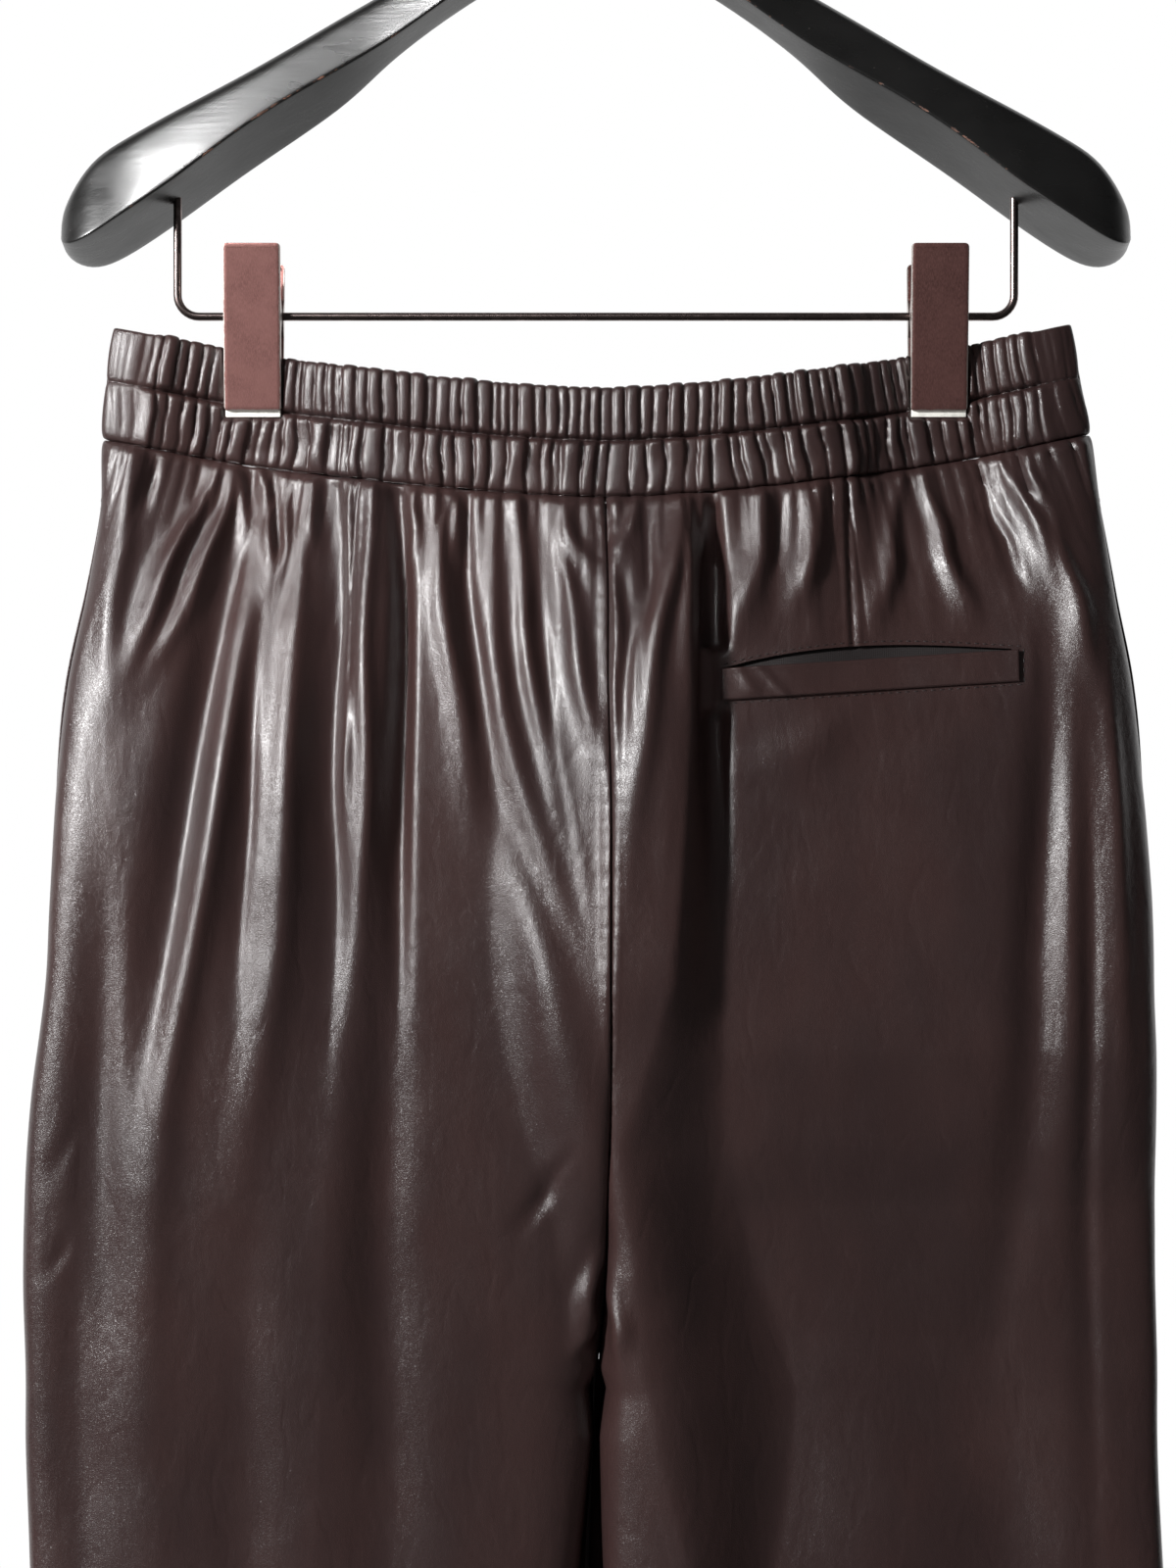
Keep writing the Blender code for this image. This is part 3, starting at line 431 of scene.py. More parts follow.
def lay_out(form, front, step, down, height_at, middle_gap=SEAM_GAP / 2):
    """Shares and heights of a grid that runs from the middle to the side seam."""
    down, step = np.meshgrid(down, step, indexing="ij")
    height = height_at(np.full(step.shape, float(BAND_CENTRE)), down)
    for _ in range(LAYOUT_ROUNDS):
        length = form.girth(height)
        first, last = middle_gap / length, SEAM_GAP / 2 / length
        seam = form.seam_share(height)
        if front:
            share = 1 - first - (1 - first - last - seam) * step
        else:
            share = first + (seam - last - first) * step
        height = height_at(form.place(share, height)[..., 0], down)
    return share, height


def along_cloth(form, share, height):
    """Signed distance round the cloth from the middle back, as it is at the waist."""
    return form.side * BAND_REACH * share / form.seam_share(height)


# ---- Folds and gathers ----

# Each fold: the heights where it starts and ends, how far across it starts, passes its middle and
# ends, how far down it is at its strongest from 0 to 1, its half width, and how far it stands out,
# negative for a trough.
BACK_FOLDS = (
    (-298, -430, -193, -201.2, -204.4, 0.40, 5, 3.5),
    (-300, -418, -157, -184.4, -202.8, 0.35, 5, 5.5),
    (-304, -408, -152, -168.6, -198.2, 0.35, 4.5, 4.5),
    (-300, -346, -149, -148, -151, 0.45, 2.6, 4.4),
    (-300, -372, -142, -136, -140, 0.45, 2.8, 4.6),
    (-306, -372, -130, -130, -136, 0.45, 2.8, 4.2),
    (-322, -660, -125, -133.5, -161, 0.30, 7, 5.5),
    (-330, -720, -138, -171.5, -196, 0.30, 6.5, 5.0),
    (-306, -350, -118, -118, -120, 0.45, 2.6, 3.8),
    (-392, -474, -104, -104, -105, 0.40, 2.8, 2.6),
    (-308, -570, -94, -96.5, -98, 0.25, 4.2, 4.8),
    (-308, -356, -78, -76, -75, 0.40, 3.4, 3.2),
    (-310, -490, -70, -59.6, -46.2, 0.30, 5.5, 5.0),
    (-310, -350, -61, -59, -57, 0.40, 3, 2.6),
    (-312, -545, -45, -34.9, 6.3, 0.40, 6, 4.5),
    (-314, -510, -34, -24, 2, 0.35, 4.5, 4.6),
    (-314, -356, -21, -12, -2, 0.50, 4.5, 3.8),
    (-326, -445, -18, -8, 0, 0.50, 4.2, 4.8),
    (-316, -358, 15, 10, 6, 0.50, 3.6, 3.4),
    (-312, -490, 35, 19, 4, 0.30, 5, 5.4),
    (-328, -450, 7, 7, 5, 0.40, 3, 4.0),
    (-350, -450, 19, 15, 8, 0.40, 3.4, 4.0),
    (-312, -440, 35, 36, 35, 0.25, 3.5, 4.0),
    (-310, -388, 68, 62, 50, 0.55, 6.5, 5.6),
    (-310, -372, 91, 86, 78, 0.50, 4.5, 4.4),
    (-308, -378, 124, 119, 111, 0.55, 4.6, 4.6),
    (-302, -378, 134, 143, 156, 0.55, 4.5, 4.4),
    (-294, -366, 165, 181, 192, 0.45, 4.8, 4.6),
    (-294, -332, 178, 182, 186, 0.40, 3.4, 3.4),
    (-312, -412, 184, 196, 207, 0.50, 5, 4.0),
    (-400, -640, 190, 192, 190, 0.35, 5, 1.0),
    (-350, -640, 207, 211, 219, 0.30, 5, 3.6),
    (-430, -624, -48, -22, -3, 0.50, 11, 6.5),
    (-540, -845, -190, -196, -200, 0.50, 15, 2.2),
    (-600, -845, -72, -69, -67, 0.60, 18, 1.6),
    (-600, -845, 92, 98, 104, 0.60, 26, 3.5),
    (-600, -845, 196, 192, 194, 0.60, 13, 0.8),
    (-398, -440, 104, 80, 60, 0.45, 13, 2.4),
    (-616, -670, 2, -5, -9, 0.60, 3.2, 7.0),
    (-640, -672, -1, -4, -12, 0.60, 2.6, 4.5),
    (-622, -678, 3, 8, 9, 0.60, 2.8, 4.2),
    (-298, -326, -184, -186, -189, 0.40, 2.6, -3.0),
    (-312, -620, -148, -174.5, -207, 0.30, 8, -8.0),
    (-560, -845, -212, -216, -217, 0.40, 9, -2.5),
    (-440, -740, -206, -208, -209, 0.40, 10, -5.0),
    (-340, -570, -138, -144.9, -150.8, 0.45, 4, -3.5),
    (-560, -845, -147, -150, -155, 0.60, 13, -3.2),
    (-306, -352, -136, -134, -133, 0.40, 3, -3.0),
    (-310, -620, -111, -111, -118, 0.25, 7, -8.0),
    (-306, -610, -84, -81.5, -91, 0.22, 5, -12.0),
    (-440, -845, -90, -92, -93, 0.38, 11, -4.0),
    (-310, -470, -56, -49.8, -39.7, 0.30, 4.2, -4.0),
    (-330, -520, -27, -18, -4, 0.40, 3.5, -2.5),
    (-316, -400, 23, 19, 13, 0.40, 3.2, -3.0),
    (-306, -500, 47, 48, 50, 0.25, 4.6, -10.0),
    (-310, -366, 78, 72, 64, 0.45, 4, -3.0),
    (-306, -366, 158, 168, 178, 0.45, 4, -3.0),
    (-330, -760, 181, 174, 142, 0.32, 9, -5.5),
    (-380, -845, 199, 201, 204, 0.35, 4.5, -2.6),
    (-620, -845, 160, 158, 156, 0.60, 19, -3.0),
    (-556, -606, -205, -216, -227, 0.50, 3.6, -2.2),
    (-611, -642, -212, -220, -227, 0.50, 3.4, -2.0),
    (-578, -626, -8, -22, -37, 0.50, 3.6, -2.4),
)
FRONT_FOLDS = (
    (-306, -700, -96, -104, -118, 0.30, 11, -8.0),
    (-312, -640, -52, -48, -40, 0.35, 12, 6.0),
    (-314, -560, -18, -16, -10, 0.35, 10, -5.0),
    (-314, -620, 30, 26, 14, 0.35, 10, 6.0),
    (-308, -720, 74, 82, 96, 0.30, 11, -8.5),
    (-304, -600, 112, 118, 130, 0.40, 11, 6.0),
    (-300, -560, 166, 174, 186, 0.30, 10, -6.0),
    (-300, -600, -134, -144, -160, 0.40, 11, 6.0),
    (-300, -520, -172, -182, -196, 0.30, 10, -5.5),
)
FOLD_EDGE_FADE = 6
FOLD_SEAM_FADE = 5
FOLD_POCKET_FADE = 6
FOLD_SHARPNESS = 1.2
FOLD_WANDER = 1.3
FOLD_WANDER_WIDTH = 6
FOLD_TURNS = (1.2, 2.6)
FOLD_LEAN = 0.35
FOLD_LEAN_WIDTH = 9
FOLD_LEAST_LEAN = 0.1
FOLD_OFFSET = 0.5
FOLD_START_WIDTH = 0.72
FOLD_SPREAD = 0.7
# A fold that starts above this height is held by the waist seam, and starts with this share.
FOLD_SEAM_START = -330
FOLD_HELD = 0.45
FOLD_SEED = 5
ROUND_TURN = 6.28

POCKET_LEFT = 51
POCKET_RIGHT = 174
POCKET_Z_LEFT = -388
POCKET_Z_RIGHT = -380
WELT_HEIGHT = 13
WELT_THICK = 1.6
WELT_LIFT = 0.4
SLOT_GAPE = 6
SLOT_LEAST = 0.8
SLOT_BELOW = 2.0
SLOT_LEAN = 0.85
SLOT_INSET = 3
SLOT_STEPS = 12
# Two slanting creases of the welt: where they start, how they lean, how high and how wide.
WELT_CREASES = ((58, 0.6, 0.8, 2.6), (66, 0.9, 0.7, 2.2))
FACING_MARGIN = 3
FACING_DROP = 0.8
FACING_THICK = 1.0
FACING_BEHIND = 2.9

SIDE_POCKET_TOP = -313
SIDE_POCKET_END = -484
SIDE_POCKET_GAPE = 3.0
SIDE_POCKET_TURN = 26

# The waist darts: how far across the seam end and the tip are, and the height of the tip.
DARTS = ((-99.6, -101.3, -394), (103.7, 105.8, -380))

CHANNEL_LINE = 0.48
CHANNEL_DIP = 1.5
CHANNEL_DIP_WIDTH = 0.6
# The middle back seam's allowances are pressed to the left, and lift the cloth there.
SEAM_ALLOWANCE = 1.7
SEAM_ALLOWANCE_WIDTH = 2.6
SEAM_ALLOWANCE_FROM = -400
BAND_SEAM_DIP = 1.2
HEM_DEEP = 26
HEM_EDGE = 30

# Ribs of the gathers: the spread of their pitches, heights and reaches, and how round they are.
RIB_PITCHES = (0.62, 1.4)
RIB_AMOUNTS = (0.62, 1.15)
RIB_REACHES = (0.55, 1.25)
RIB_FULLNESS = 2.7
RIB_MARGIN = 20
# A narrow rib is lower: the least and the greatest width that counts, and the power of it.
RIB_WIDTHS = (0.5, 1.3)
RIB_WIDTH_POWER = 0.8
LOWER_RIB_PITCH = 1.3
LOWER_RIB_HEIGHT = 1.4
# How far along the ribs lean and wobble, and how high they are as they run down into the panels.
UPPER_RIB_LEAN = 1.8
UPPER_RIB_WOBBLE = 0.45
LOWER_RIB_SLANT = 5.0
RIB_WOBBLE = 0.9
PANEL_RIB_LEAN = 2.5
PANEL_RIB_HEIGHT = 0.95
PANEL_RIB_REACH = (7, 40)
BAND_END_FLAT = 15
BAND_END_FADE = 8
# Rows of the casing beside the channel line, and the space between the bands' columns.
CHANNEL_ROWS = (-1.7, -1.1, -0.7, -0.35, 0, 0.35, 0.7, 1.1, 1.7)
BACK_BAND_STEP = 0.68
FRONT_BAND_STEP = 2.0

# Unevenness: the length of its waves, and the seed of its draws.
UPPER_LEAN = (31, 1)
UPPER_WOBBLE = (9, 2)
LOWER_LEAN = (23, 4)
LOWER_WOBBLE = (11, 6)
UPPER_RIB_SEED = 3
LOWER_RIB_SEED = 8


def fold_path(first, middle, last, t):
    """How far across a fold is at a share of its way down."""
    return (1 - t) * (1 - 2 * t) * first + 4 * t * (1 - t) * middle - t * (1 - 2 * t) * last


def fold_relief(rows, x, height):
    """How far the folds stand out. A fold is narrow and steep where it starts and widens as it runs
    out. Ridges that meet keep a crease between them. A trough is steeper on its right."""
    rng = random.Random(FOLD_SEED)
    ridges = np.ones(x.shape)
    troughs = np.ones(x.shape)
    for start, end, *path, peak, half, stands in rows:
        t = (start - height) / (start - end)
        turns, phase = rng.uniform(*FOLD_TURNS), rng.uniform(0, ROUND_TURN)
        wander = FOLD_WANDER * min(1, half / FOLD_WANDER_WIDTH)
        wander = wander * np.sin(turns * ROUND_TURN * t + phase)
        across = fold_path(*path, np.clip(t, 0, 1)) + wander
        held = FOLD_HELD if start > FOLD_SEAM_START else 0.0
        rise = held + (1 - held) * smooth(t / peak)
        fall = 1 - smooth((t - peak) / (1 - peak))
        inside = np.where(((t >= 0) | (held > 0)) & (t <= 1), 1.0, 0.0)
        width = half * (FOLD_START_WIDTH + FOLD_SPREAD * np.clip(t, 0, 1))
        across = across + FOLD_OFFSET * width
        lean = FOLD_LEAN if stands < 0 and half < FOLD_LEAN_WIDTH else FOLD_LEAST_LEAN
        near = bump(x - across, width * np.where(x < across, 1 + lean, 1 - lean))
        lift = abs(stands) * np.minimum(rise, fall) * near * inside
        kind = ridges if stands > 0 else troughs
        kind += np.exp(FOLD_SHARPNESS * lift) - 1
    return (np.log(ridges) - np.log(troughs)) / FOLD_SHARPNESS


def pocket_line(x):
    """The height of the welt's upper edge."""
    t = (x - POCKET_LEFT) / (POCKET_RIGHT - POCKET_LEFT)
    return POCKET_Z_LEFT + (POCKET_Z_RIGHT - POCKET_Z_LEFT) * t


def pocket_hold(x, y, height):
    """1 where the stitched pocket keeps the cloth flat."""
    half = (POCKET_RIGHT - POCKET_LEFT) / 2 + FACING_MARGIN
    past = np.abs(x - (POCKET_LEFT + POCKET_RIGHT) / 2) - half
    line = pocket_line(x)
    above = np.maximum(height - line - SLOT_GAPE, line - WELT_HEIGHT - 1 - height)
    beside = (1 - smooth(past / FOLD_POCKET_FADE)) * (1 - smooth(above / FOLD_POCKET_FADE))
    return np.where(y < 0, beside, 0)


def uneven(x, scale, seed):
    """Smooth unevenness of about -1 to 1 along one direction."""
    rng = random.Random(seed)
    total = 0
    for octave in (1.0, 1.9, 3.3):
        total = total + np.sin(x / scale * octave + rng.uniform(0, ROUND_TURN)) / octave
    return total / 1.6


class Gathers:
    """Rounded ribs with sharp creases between them, as elastic draws the cloth up."""

    def __init__(self, pitch, reach, seed):
        rng = random.Random(seed)
        creases = [-reach]
        while creases[-1] < reach:
            creases.append(creases[-1] + pitch * rng.uniform(*RIB_PITCHES))
        self.creases = np.array(creases)
        self.amount = np.array([rng.uniform(*RIB_AMOUNTS) for _ in creases])
        self.reach_down = np.array([rng.uniform(*RIB_REACHES) for _ in creases])
        self.pitch = pitch

    def rib(self, along):
        """Which rib is at a distance along, and its height there."""
        k = np.clip(np.searchsorted(self.creases, along) - 1, 0, len(self.creases) - 2)
        width = self.creases[k + 1] - self.creases[k]
        t = np.clip((along - self.creases[k]) / width, 0, 1)
        arch = rounded(np.abs(2 * t - 1), RIB_FULLNESS)
        height = np.clip(width / self.pitch, *RIB_WIDTHS) ** RIB_WIDTH_POWER
        return k, arch * height * self.amount[k]


def upper_ribs(cloth):
    """The ribs above the channel line."""
    return Gathers(cloth.pleat_pitch / MM, BAND_REACH + RIB_MARGIN, UPPER_RIB_SEED)


def lower_ribs(cloth):
    """The ribs below the channel line, which run down into the panels."""
    pitch = cloth.pleat_pitch / MM * LOWER_RIB_PITCH
    return Gathers(pitch, BAND_REACH + RIB_MARGIN, LOWER_RIB_SEED)


def band_end_fade(along):
    """1 along the gathered part of the casing, falling to 0 at its flat ends."""
    return smooth((BAND_REACH - BAND_END_FLAT - np.abs(along)) / BAND_END_FADE)


def gathered_band(cloth, along, down, x, height):
    """Relief of the back casing: one row of ribs above the channel line, a looser one below it."""
    lower = lower_ribs(cloth)
    drop = down * BAND_DEPTH
    past = down - CHANNEL_LINE
    lean = UPPER_RIB_LEAN * uneven(along, *UPPER_LEAN) * (down - 0.25) * 2
    wobble = UPPER_RIB_WOBBLE * uneven(drop + along, *UPPER_WOBBLE)
    _, upper_rib = upper_ribs(cloth).rib(along + lean + wobble)
    slant = LOWER_RIB_SLANT * uneven(along, *LOWER_LEAN) * (down - 0.5)
    wobble = RIB_WOBBLE * uneven(drop * LOWER_RIB_PITCH + along, *LOWER_WOBBLE)
    k, lower_rib = lower.rib(along + slant + wobble)
    upper_share = (0.7 + 0.3 * smooth(down / 0.06)) * (1 - 0.5 * smooth((past + 0.05) / 0.05))
    ends = smooth((lower.reach_down[k] - down) / 0.35)
    lower_share = (0.35 + 0.65 * smooth(past / 0.06)) * (0.45 + 0.55 * ends)
    upper_rib, lower_rib = upper_rib * upper_share, LOWER_RIB_HEIGHT * lower_rib * lower_share
    relief = np.where(past < 0, upper_rib, lower_rib) * cloth.pleat_height / MM
    relief = relief - CHANNEL_DIP * bump(past * BAND_DEPTH, CHANNEL_DIP_WIDTH)
    above, below = np.clip(down / CHANNEL_LINE, 0, 1), np.clip(past / (1 - CHANNEL_LINE), 0, 1)
    swell = 0.6 * np.sin(np.pi * above) + 0.4 * np.sin(np.pi * below)
    relief = relief * (0.2 + 0.8 * band_end_fade(along)) + swell
    return relief * (1 - under_clip(x, height))


def under_clip(x, height):
    """1 where a clip's pad lies on the casing."""
    beside = smooth((np.abs(np.abs(x) - CLIP_X) - 11) / 2.5)
    below = smooth((CLIP_LOW - PAD_BELOW + 1 - height) / 3)
    return 1 - np.maximum(beside, below)


def panel_gathers(cloth, form, share, height, x):
    """Short ribs that run down from the waist seam and die away."""
    lower = lower_ribs(cloth)
    along = along_cloth(form, share, height)
    depth = seam_line(x) - height
    wobble = RIB_WOBBLE * uneven(58 + depth * 0.8 + along, *LOWER_WOBBLE)
    k, rib = lower.rib(along + PANEL_RIB_LEAN * uneven(along, *LOWER_LEAN) + wobble)
    least, more = PANEL_RIB_REACH
    reach = least + more * np.clip(lower.reach_down[k] - RIB_REACHES[0], 0, 1)
    height = PANEL_RIB_HEIGHT * cloth.pleat_height / MM
    return height * rib * np.exp(-np.maximum(depth, 0) / reach)


# A seam's dip and the low roll beside it, then the puckers of its stitches, each with its width.
SEAM_DIP = (1.1, 1.1)
SEAM_ROLL = (0.45, 2.6, 1.3)
PUCKERS = (0.35, 4)
PUCKER_WAVE = 1.15
MIDDLE_SEAM_SEED = 21
DART_SEAM_SEED = 9


def seam_pucker(off, along, seed):
    """The dip of a seam, with the little puckers that its stitches draw beside it."""
    off = np.abs(off)
    roll, at, width = SEAM_ROLL
    dip = roll * bump(off - at, width) - SEAM_DIP[0] * np.exp(-off / SEAM_DIP[1])
    wave = np.sin(along / PUCKER_WAVE + 2 * uneven(along, 7, seed))
    return dip + PUCKERS[0] * wave * np.exp(-off / PUCKERS[1]) * smooth(off / 1.5)


def panel_relief(cloth, form, share, height, front):
    """Everything that stands in or out on a leg panel, in millimetres."""
    place = form.place(share, height)
    x, y = place[..., 0], place[..., 1]
    relief = fold_relief(FRONT_FOLDS if front else BACK_FOLDS, x, height) * cloth.fold
    if not front:
        relief = relief + panel_gathers(cloth, form, share, height, x)
    outer = form.at_height(np.max(form.x * form.side, axis=1), height)
    relief = relief * smooth((outer - x * form.side) / FOLD_EDGE_FADE)
    inner = form.from_middle(share, height)
    legs = np.clip(section("split", height), 0, 1)
    relief = relief * (1 - legs * (1 - smooth(inner / FOLD_EDGE_FADE)))
    below = seam_line(x) - height
    relief = relief * (0.35 + 0.65 * smooth(below / FOLD_SEAM_FADE))
    relief = relief * (1 - pocket_hold(x, y, height)) * (1 - 0.1 * clip_grip(x, height))
    relief = relief - band_seam_dip(below)
    seam = seam_pucker(inner, height, MIDDLE_SEAM_SEED) * (0.6 if front else 1)
    relief = relief + seam * (height > CROTCH + 4)
    if not front and form.side < 0:
        tall = smooth((SEAM_ALLOWANCE_FROM - height) / 60) * smooth((height - CROTCH) / 20)
        relief = relief + SEAM_ALLOWANCE * np.exp(-inner / SEAM_ALLOWANCE_WIDTH) * tall
    if not front:
        relief = relief + dart_relief(x, height)
    hem = height - HEM
    relief = relief + 0.35 * smooth((HEM_EDGE - hem) / 3) - 0.8 * bump(hem - HEM_DEEP, 1.0)
    across, down = uneven(x * 0.8 - height * 0.2, 13, 32), uneven(height * 0.9 + x * 0.35, 17, 31)
    relief = relief + 0.30 * down * across
    return relief + pocket_stand_off(form, share, height) if front else relief


def band_seam_dip(below):
    """How far the cloth is drawn in at the seam under the waistband."""
    return BAND_SEAM_DIP * np.exp(-np.maximum(below, 0) / BAND_SEAM_DIP)


def dart_relief(x, height):
    """The waist darts, each a short seam that runs out at its tip."""
    relief = 0
    for top, low, tip in DARTS:
        t = (seam_line(x) - height) / (seam_line(top) - tip)
        line = top + (low - top) * np.clip(t, 0, 1)
        on = smooth((1.04 - t) / 0.10) * (t > -0.1)
        relief = relief + on * seam_pucker(x - line, height, DART_SEAM_SEED) * 0.8
    return relief


def panel_normals(form, share, height):
    """Outward directions of a leg panel. Near the middle seam they face straight back, or forward,
    turn under the crotch, and below it face the other leg."""
    normal = form.normal(share, height)
    edge, level = share[:, 0], height[:, 0]
    down = form.slope(edge, level)
    sign = -1 if edge[0] < 0.5 else 1
    turned = np.stack([np.zeros(len(edge)), -down[:, 2] * sign, down[:, 1] * sign], axis=-1)
    turned /= np.linalg.norm(turned, axis=-1, keepdims=True)
    leg = np.tile([-float(form.side), 0.0, 0.0], (len(edge), 1))
    mix = smooth((CROTCH + 6 - level) / 12)[:, None]
    edge_normal = (turned * (1 - mix) + leg * mix)[:, None, :]
    near = bump(form.from_middle(share, height), 4)[..., None]
    normal = normal * (1 - near) + edge_normal * near
    return normal / np.linalg.norm(normal, axis=-1, keepdims=True)


# How far from the middle the cloth is held on its own side, and how far the front seam's turn and
# the swelling towards the other leg run out.
MIDDLE_HELD = 16
FRONT_TURN_REACH = 12
SWELL_REACH = 22


def keep_side(form, points, share, height, front):
    """Holds a panel's points on its own side of the middle seam, and of the seam inside the leg."""
    limit = form.at_height(form.x[:, 0], height)
    off = form.side * (points[..., 0] - limit)
    points[..., 0] = limit + form.side * np.maximum(off, SEAM_GAP / 2)
    away = 1 if front else -1
    inner = form.from_middle(share, height)
    held = away * np.maximum(away * points[..., 1], SEAM_GAP / 2)
    points[..., 1] = np.where(inner < MIDDLE_HELD, held, points[..., 1])
    if front:
        turned = (1 - smooth(inner / FRONT_TURN_REACH)) * smooth((height - CROTCH - 1) / 8)
        points[..., 0] += close_gap(form, inner, share, height) + FRONT_SEAM_TURN * turned
    return points


def close_gap(form, inner, share, height):
    """How far across the front of a leg swells towards the other, so that nothing shows between."""
    near = smooth((inner - 3) / 6) * (1 - smooth((inner - MIDDLE_HELD) / SWELL_REACH))
    below = smooth((CROTCH + 3 - height) / 6) * (share > 0.5)
    bent = GAP_BEND * np.sin(inner / GAP_BEND)
    meeting = section("middle", height) + bent + form.side * GAP_BEHIND
    return near * below * (meeting - form.place(share, height)[..., 0])


def pocket_stand_off(form, share, height):
    """The front edge of a side pocket stands off the body, outwards and forwards."""
    t = (SIDE_POCKET_TOP - height) / (SIDE_POCKET_TOP - SIDE_POCKET_END)
    opening = np.sin(np.pi * np.clip(t, 0, 1)) ** 0.7
    off = (share - form.seam_share(height)) * form.girth(height)
    return SIDE_POCKET_GAPE * opening * (1 - smooth(off / SIDE_POCKET_TURN))


def crowded(length, step, edge=(0.12, 0.35, 0.7, 1.2)):
    """Steps from 0 to 1 along a length, evenly spaced, with more of them at both ends."""
    count = max(2, round((length - 2 * edge[-1]) / step))
    middle = np.linspace(edge[-1], length - edge[-1], count + 1)
    ends = np.array((0,) + edge[:-1])
    return np.concatenate([ends, middle, length - ends[::-1]]) / length


def eased(count, power):
    """Steps from 0 to 1 that start small and grow."""
    return np.linspace(0, 1, count + 1) ** power


def rolled(distance, radius):
    """1 on the flat of a wall, falling to 0 round its edge."""
    t = np.clip(distance / radius, 0, 1)
    return np.sqrt(1 - (1 - t) ** 2)


def edge_distance(points):
    """How far each point of a grid is from the grid's nearest edge, along its rows and columns."""
    across = np.linalg.norm(np.diff(points, axis=1), axis=-1)
    down = np.linalg.norm(np.diff(points, axis=0), axis=-1)
    zero_column = np.zeros((points.shape[0], 1))
    zero_row = np.zeros((1, points.shape[1]))
    from_left = np.concatenate([zero_column, np.cumsum(across, axis=1)], axis=1)
    from_top = np.concatenate([zero_row, np.cumsum(down, axis=0)], axis=0)
    from_right = from_left[:, -1:] - from_left
    from_low = from_top[-1:, :] - from_top
    return np.minimum(np.minimum(from_left, from_right), np.minimum(from_top, from_low))


def raised(place, normal, relief):
    """Places moved out of the form by a relief."""
    return place + normal * relief[..., None]


def link_piece(name, data):
    piece = bpy.data.objects.new(name, data)
    bpy.context.collection.objects.link(piece)
    return piece


def cloth_piece(name, outer, inner):
    """A closed wall between two grids of points, in millimetres."""
    rows, columns = outer.shape[:2]
    count = rows * columns
    points = np.concatenate([outer.reshape(-1, 3), inner.reshape(-1, 3)]) * MM
    front = np.arange(count).reshape(rows, columns)
    back = front + count
    quads = [
        np.stack([front[:-1, :-1], front[:-1, 1:], front[1:, 1:], front[1:, :-1]], -1),
        np.stack([back[:-1, :-1], back[1:, :-1], back[1:, 1:], back[:-1, 1:]], -1),
    ]
    quads = [grid.reshape(-1, 4) for grid in quads]
    rim = np.concatenate([front[0, :], front[1:, -1], front[-1, -2::-1], front[-2:0:-1, 0]])
    ahead = np.roll(rim, -1)
    quads.append(np.stack([ahead, rim, rim + count, ahead + count], -1))
    mesh = bpy.data.meshes.new(name)
    mesh.from_pydata(points.tolist(), [], np.concatenate(quads).tolist())
    bm = bmesh.new()
    bm.from_mesh(mesh)
    bmesh.ops.recalc_face_normals(bm, faces=bm.faces)
    if bm.calc_volume(signed=True) < 0:
        bmesh.ops.reverse_faces(bm, faces=bm.faces)
    bm.to_mesh(mesh)
    bm.free()
    mesh.shade_smooth()
    return link_piece(name, mesh)


def walled(name, place, normal, relief, thickness, adjust=None):
    """Cloth over a form: a wall whose outer face has the relief, its edges rolled over."""
    outer = raised(place, normal, relief)
    half = thickness / 2
    roll = (1 - rolled(edge_distance(outer), half))[..., None] * half
    inner = outer - normal * (thickness - roll)
    outer = outer - normal * roll
    if adjust:
        outer, inner = adjust(outer), adjust(inner)
    return cloth_piece(name, outer, inner)


# Rows close to a panel's upper and lower edges, as shares of its length from that edge.
PANEL_TOP_ROWS = (0, 0.0003, 0.0009, 0.0018)
PANEL_LOW_ROWS = (0.0026, 0.0012, 0.0005, 0)
PANEL_WIDE = -520
# The space between a panel's columns, and how many rows it has.
FRONT_GRID = (2.4, 150)
BACK_GRID = (1.5, 215)
ROW_EASE = 1.25
DART_MIDDLE = -345
DART_CLOSE = np.arange(-5.4, 5.5, 0.6)


def beside_dart(form, columns):
    """Columns of a back panel, with closer ones on both sides of its dart."""
    across = next(row[0] for row in DARTS if row[0] * form.side > 0)
    seam = form.seam_share(DART_MIDDLE)
    at = float(form.share_of(across, DART_MIDDLE) / seam)
    close = at + DART_CLOSE / (seam * form.girth(DART_MIDDLE))
    away = columns[np.abs(columns - at) > close[-1] - at + 0.002]
    return np.sort(np.concatenate([away, close]))


def leg_panel(cloth, name, form, front):
    fine, count = FRONT_GRID if front else BACK_GRID
    columns = crowded(form.girth(PANEL_WIDE) / 2, fine)
    if not front:
        columns = beside_dart(form, columns)
    low, high = PANEL_TOP_ROWS[-1], PANEL_LOW_ROWS[0]
    rows = low + (1 - low - high) * eased(count, ROW_EASE)
    down = np.concatenate([PANEL_TOP_ROWS, rows, 1 - np.array(PANEL_LOW_ROWS[1:])])
    share, height = lay_out(form, front, columns, down, panel_height)
    place, normal = form.place(share, height), panel_normals(form, share, height)
    relief = panel_relief(cloth, form, share, height, front)
    hold = lambda points: keep_side(form, points, share, height, front)
    return walled(name, place, normal, relief, cloth.wall / MM, hold)


def band_grid(forms, front, step, down):
    """Places, normals, distances along and shares of the way down a whole waistband."""
    parts = []
    for form in forms:
        columns = crowded(BAND_REACH, step)
        share, height = lay_out(form, front, columns, down, band_height, middle_gap=0)
        grids = [
            form.place(share, height),
            form.normal(share, height),
            form.side * BAND_REACH * np.broadcast_to(columns, share.shape),
            np.broadcast_to(down[:, None], share.shape),
        ]
        parts.append([grid[:, ::-1] if form.side < 0 else grid for grid in grids])
    left, right = parts
    return [np.concatenate([a, b[:, 1:]], axis=1) for a, b in zip(left, right)]


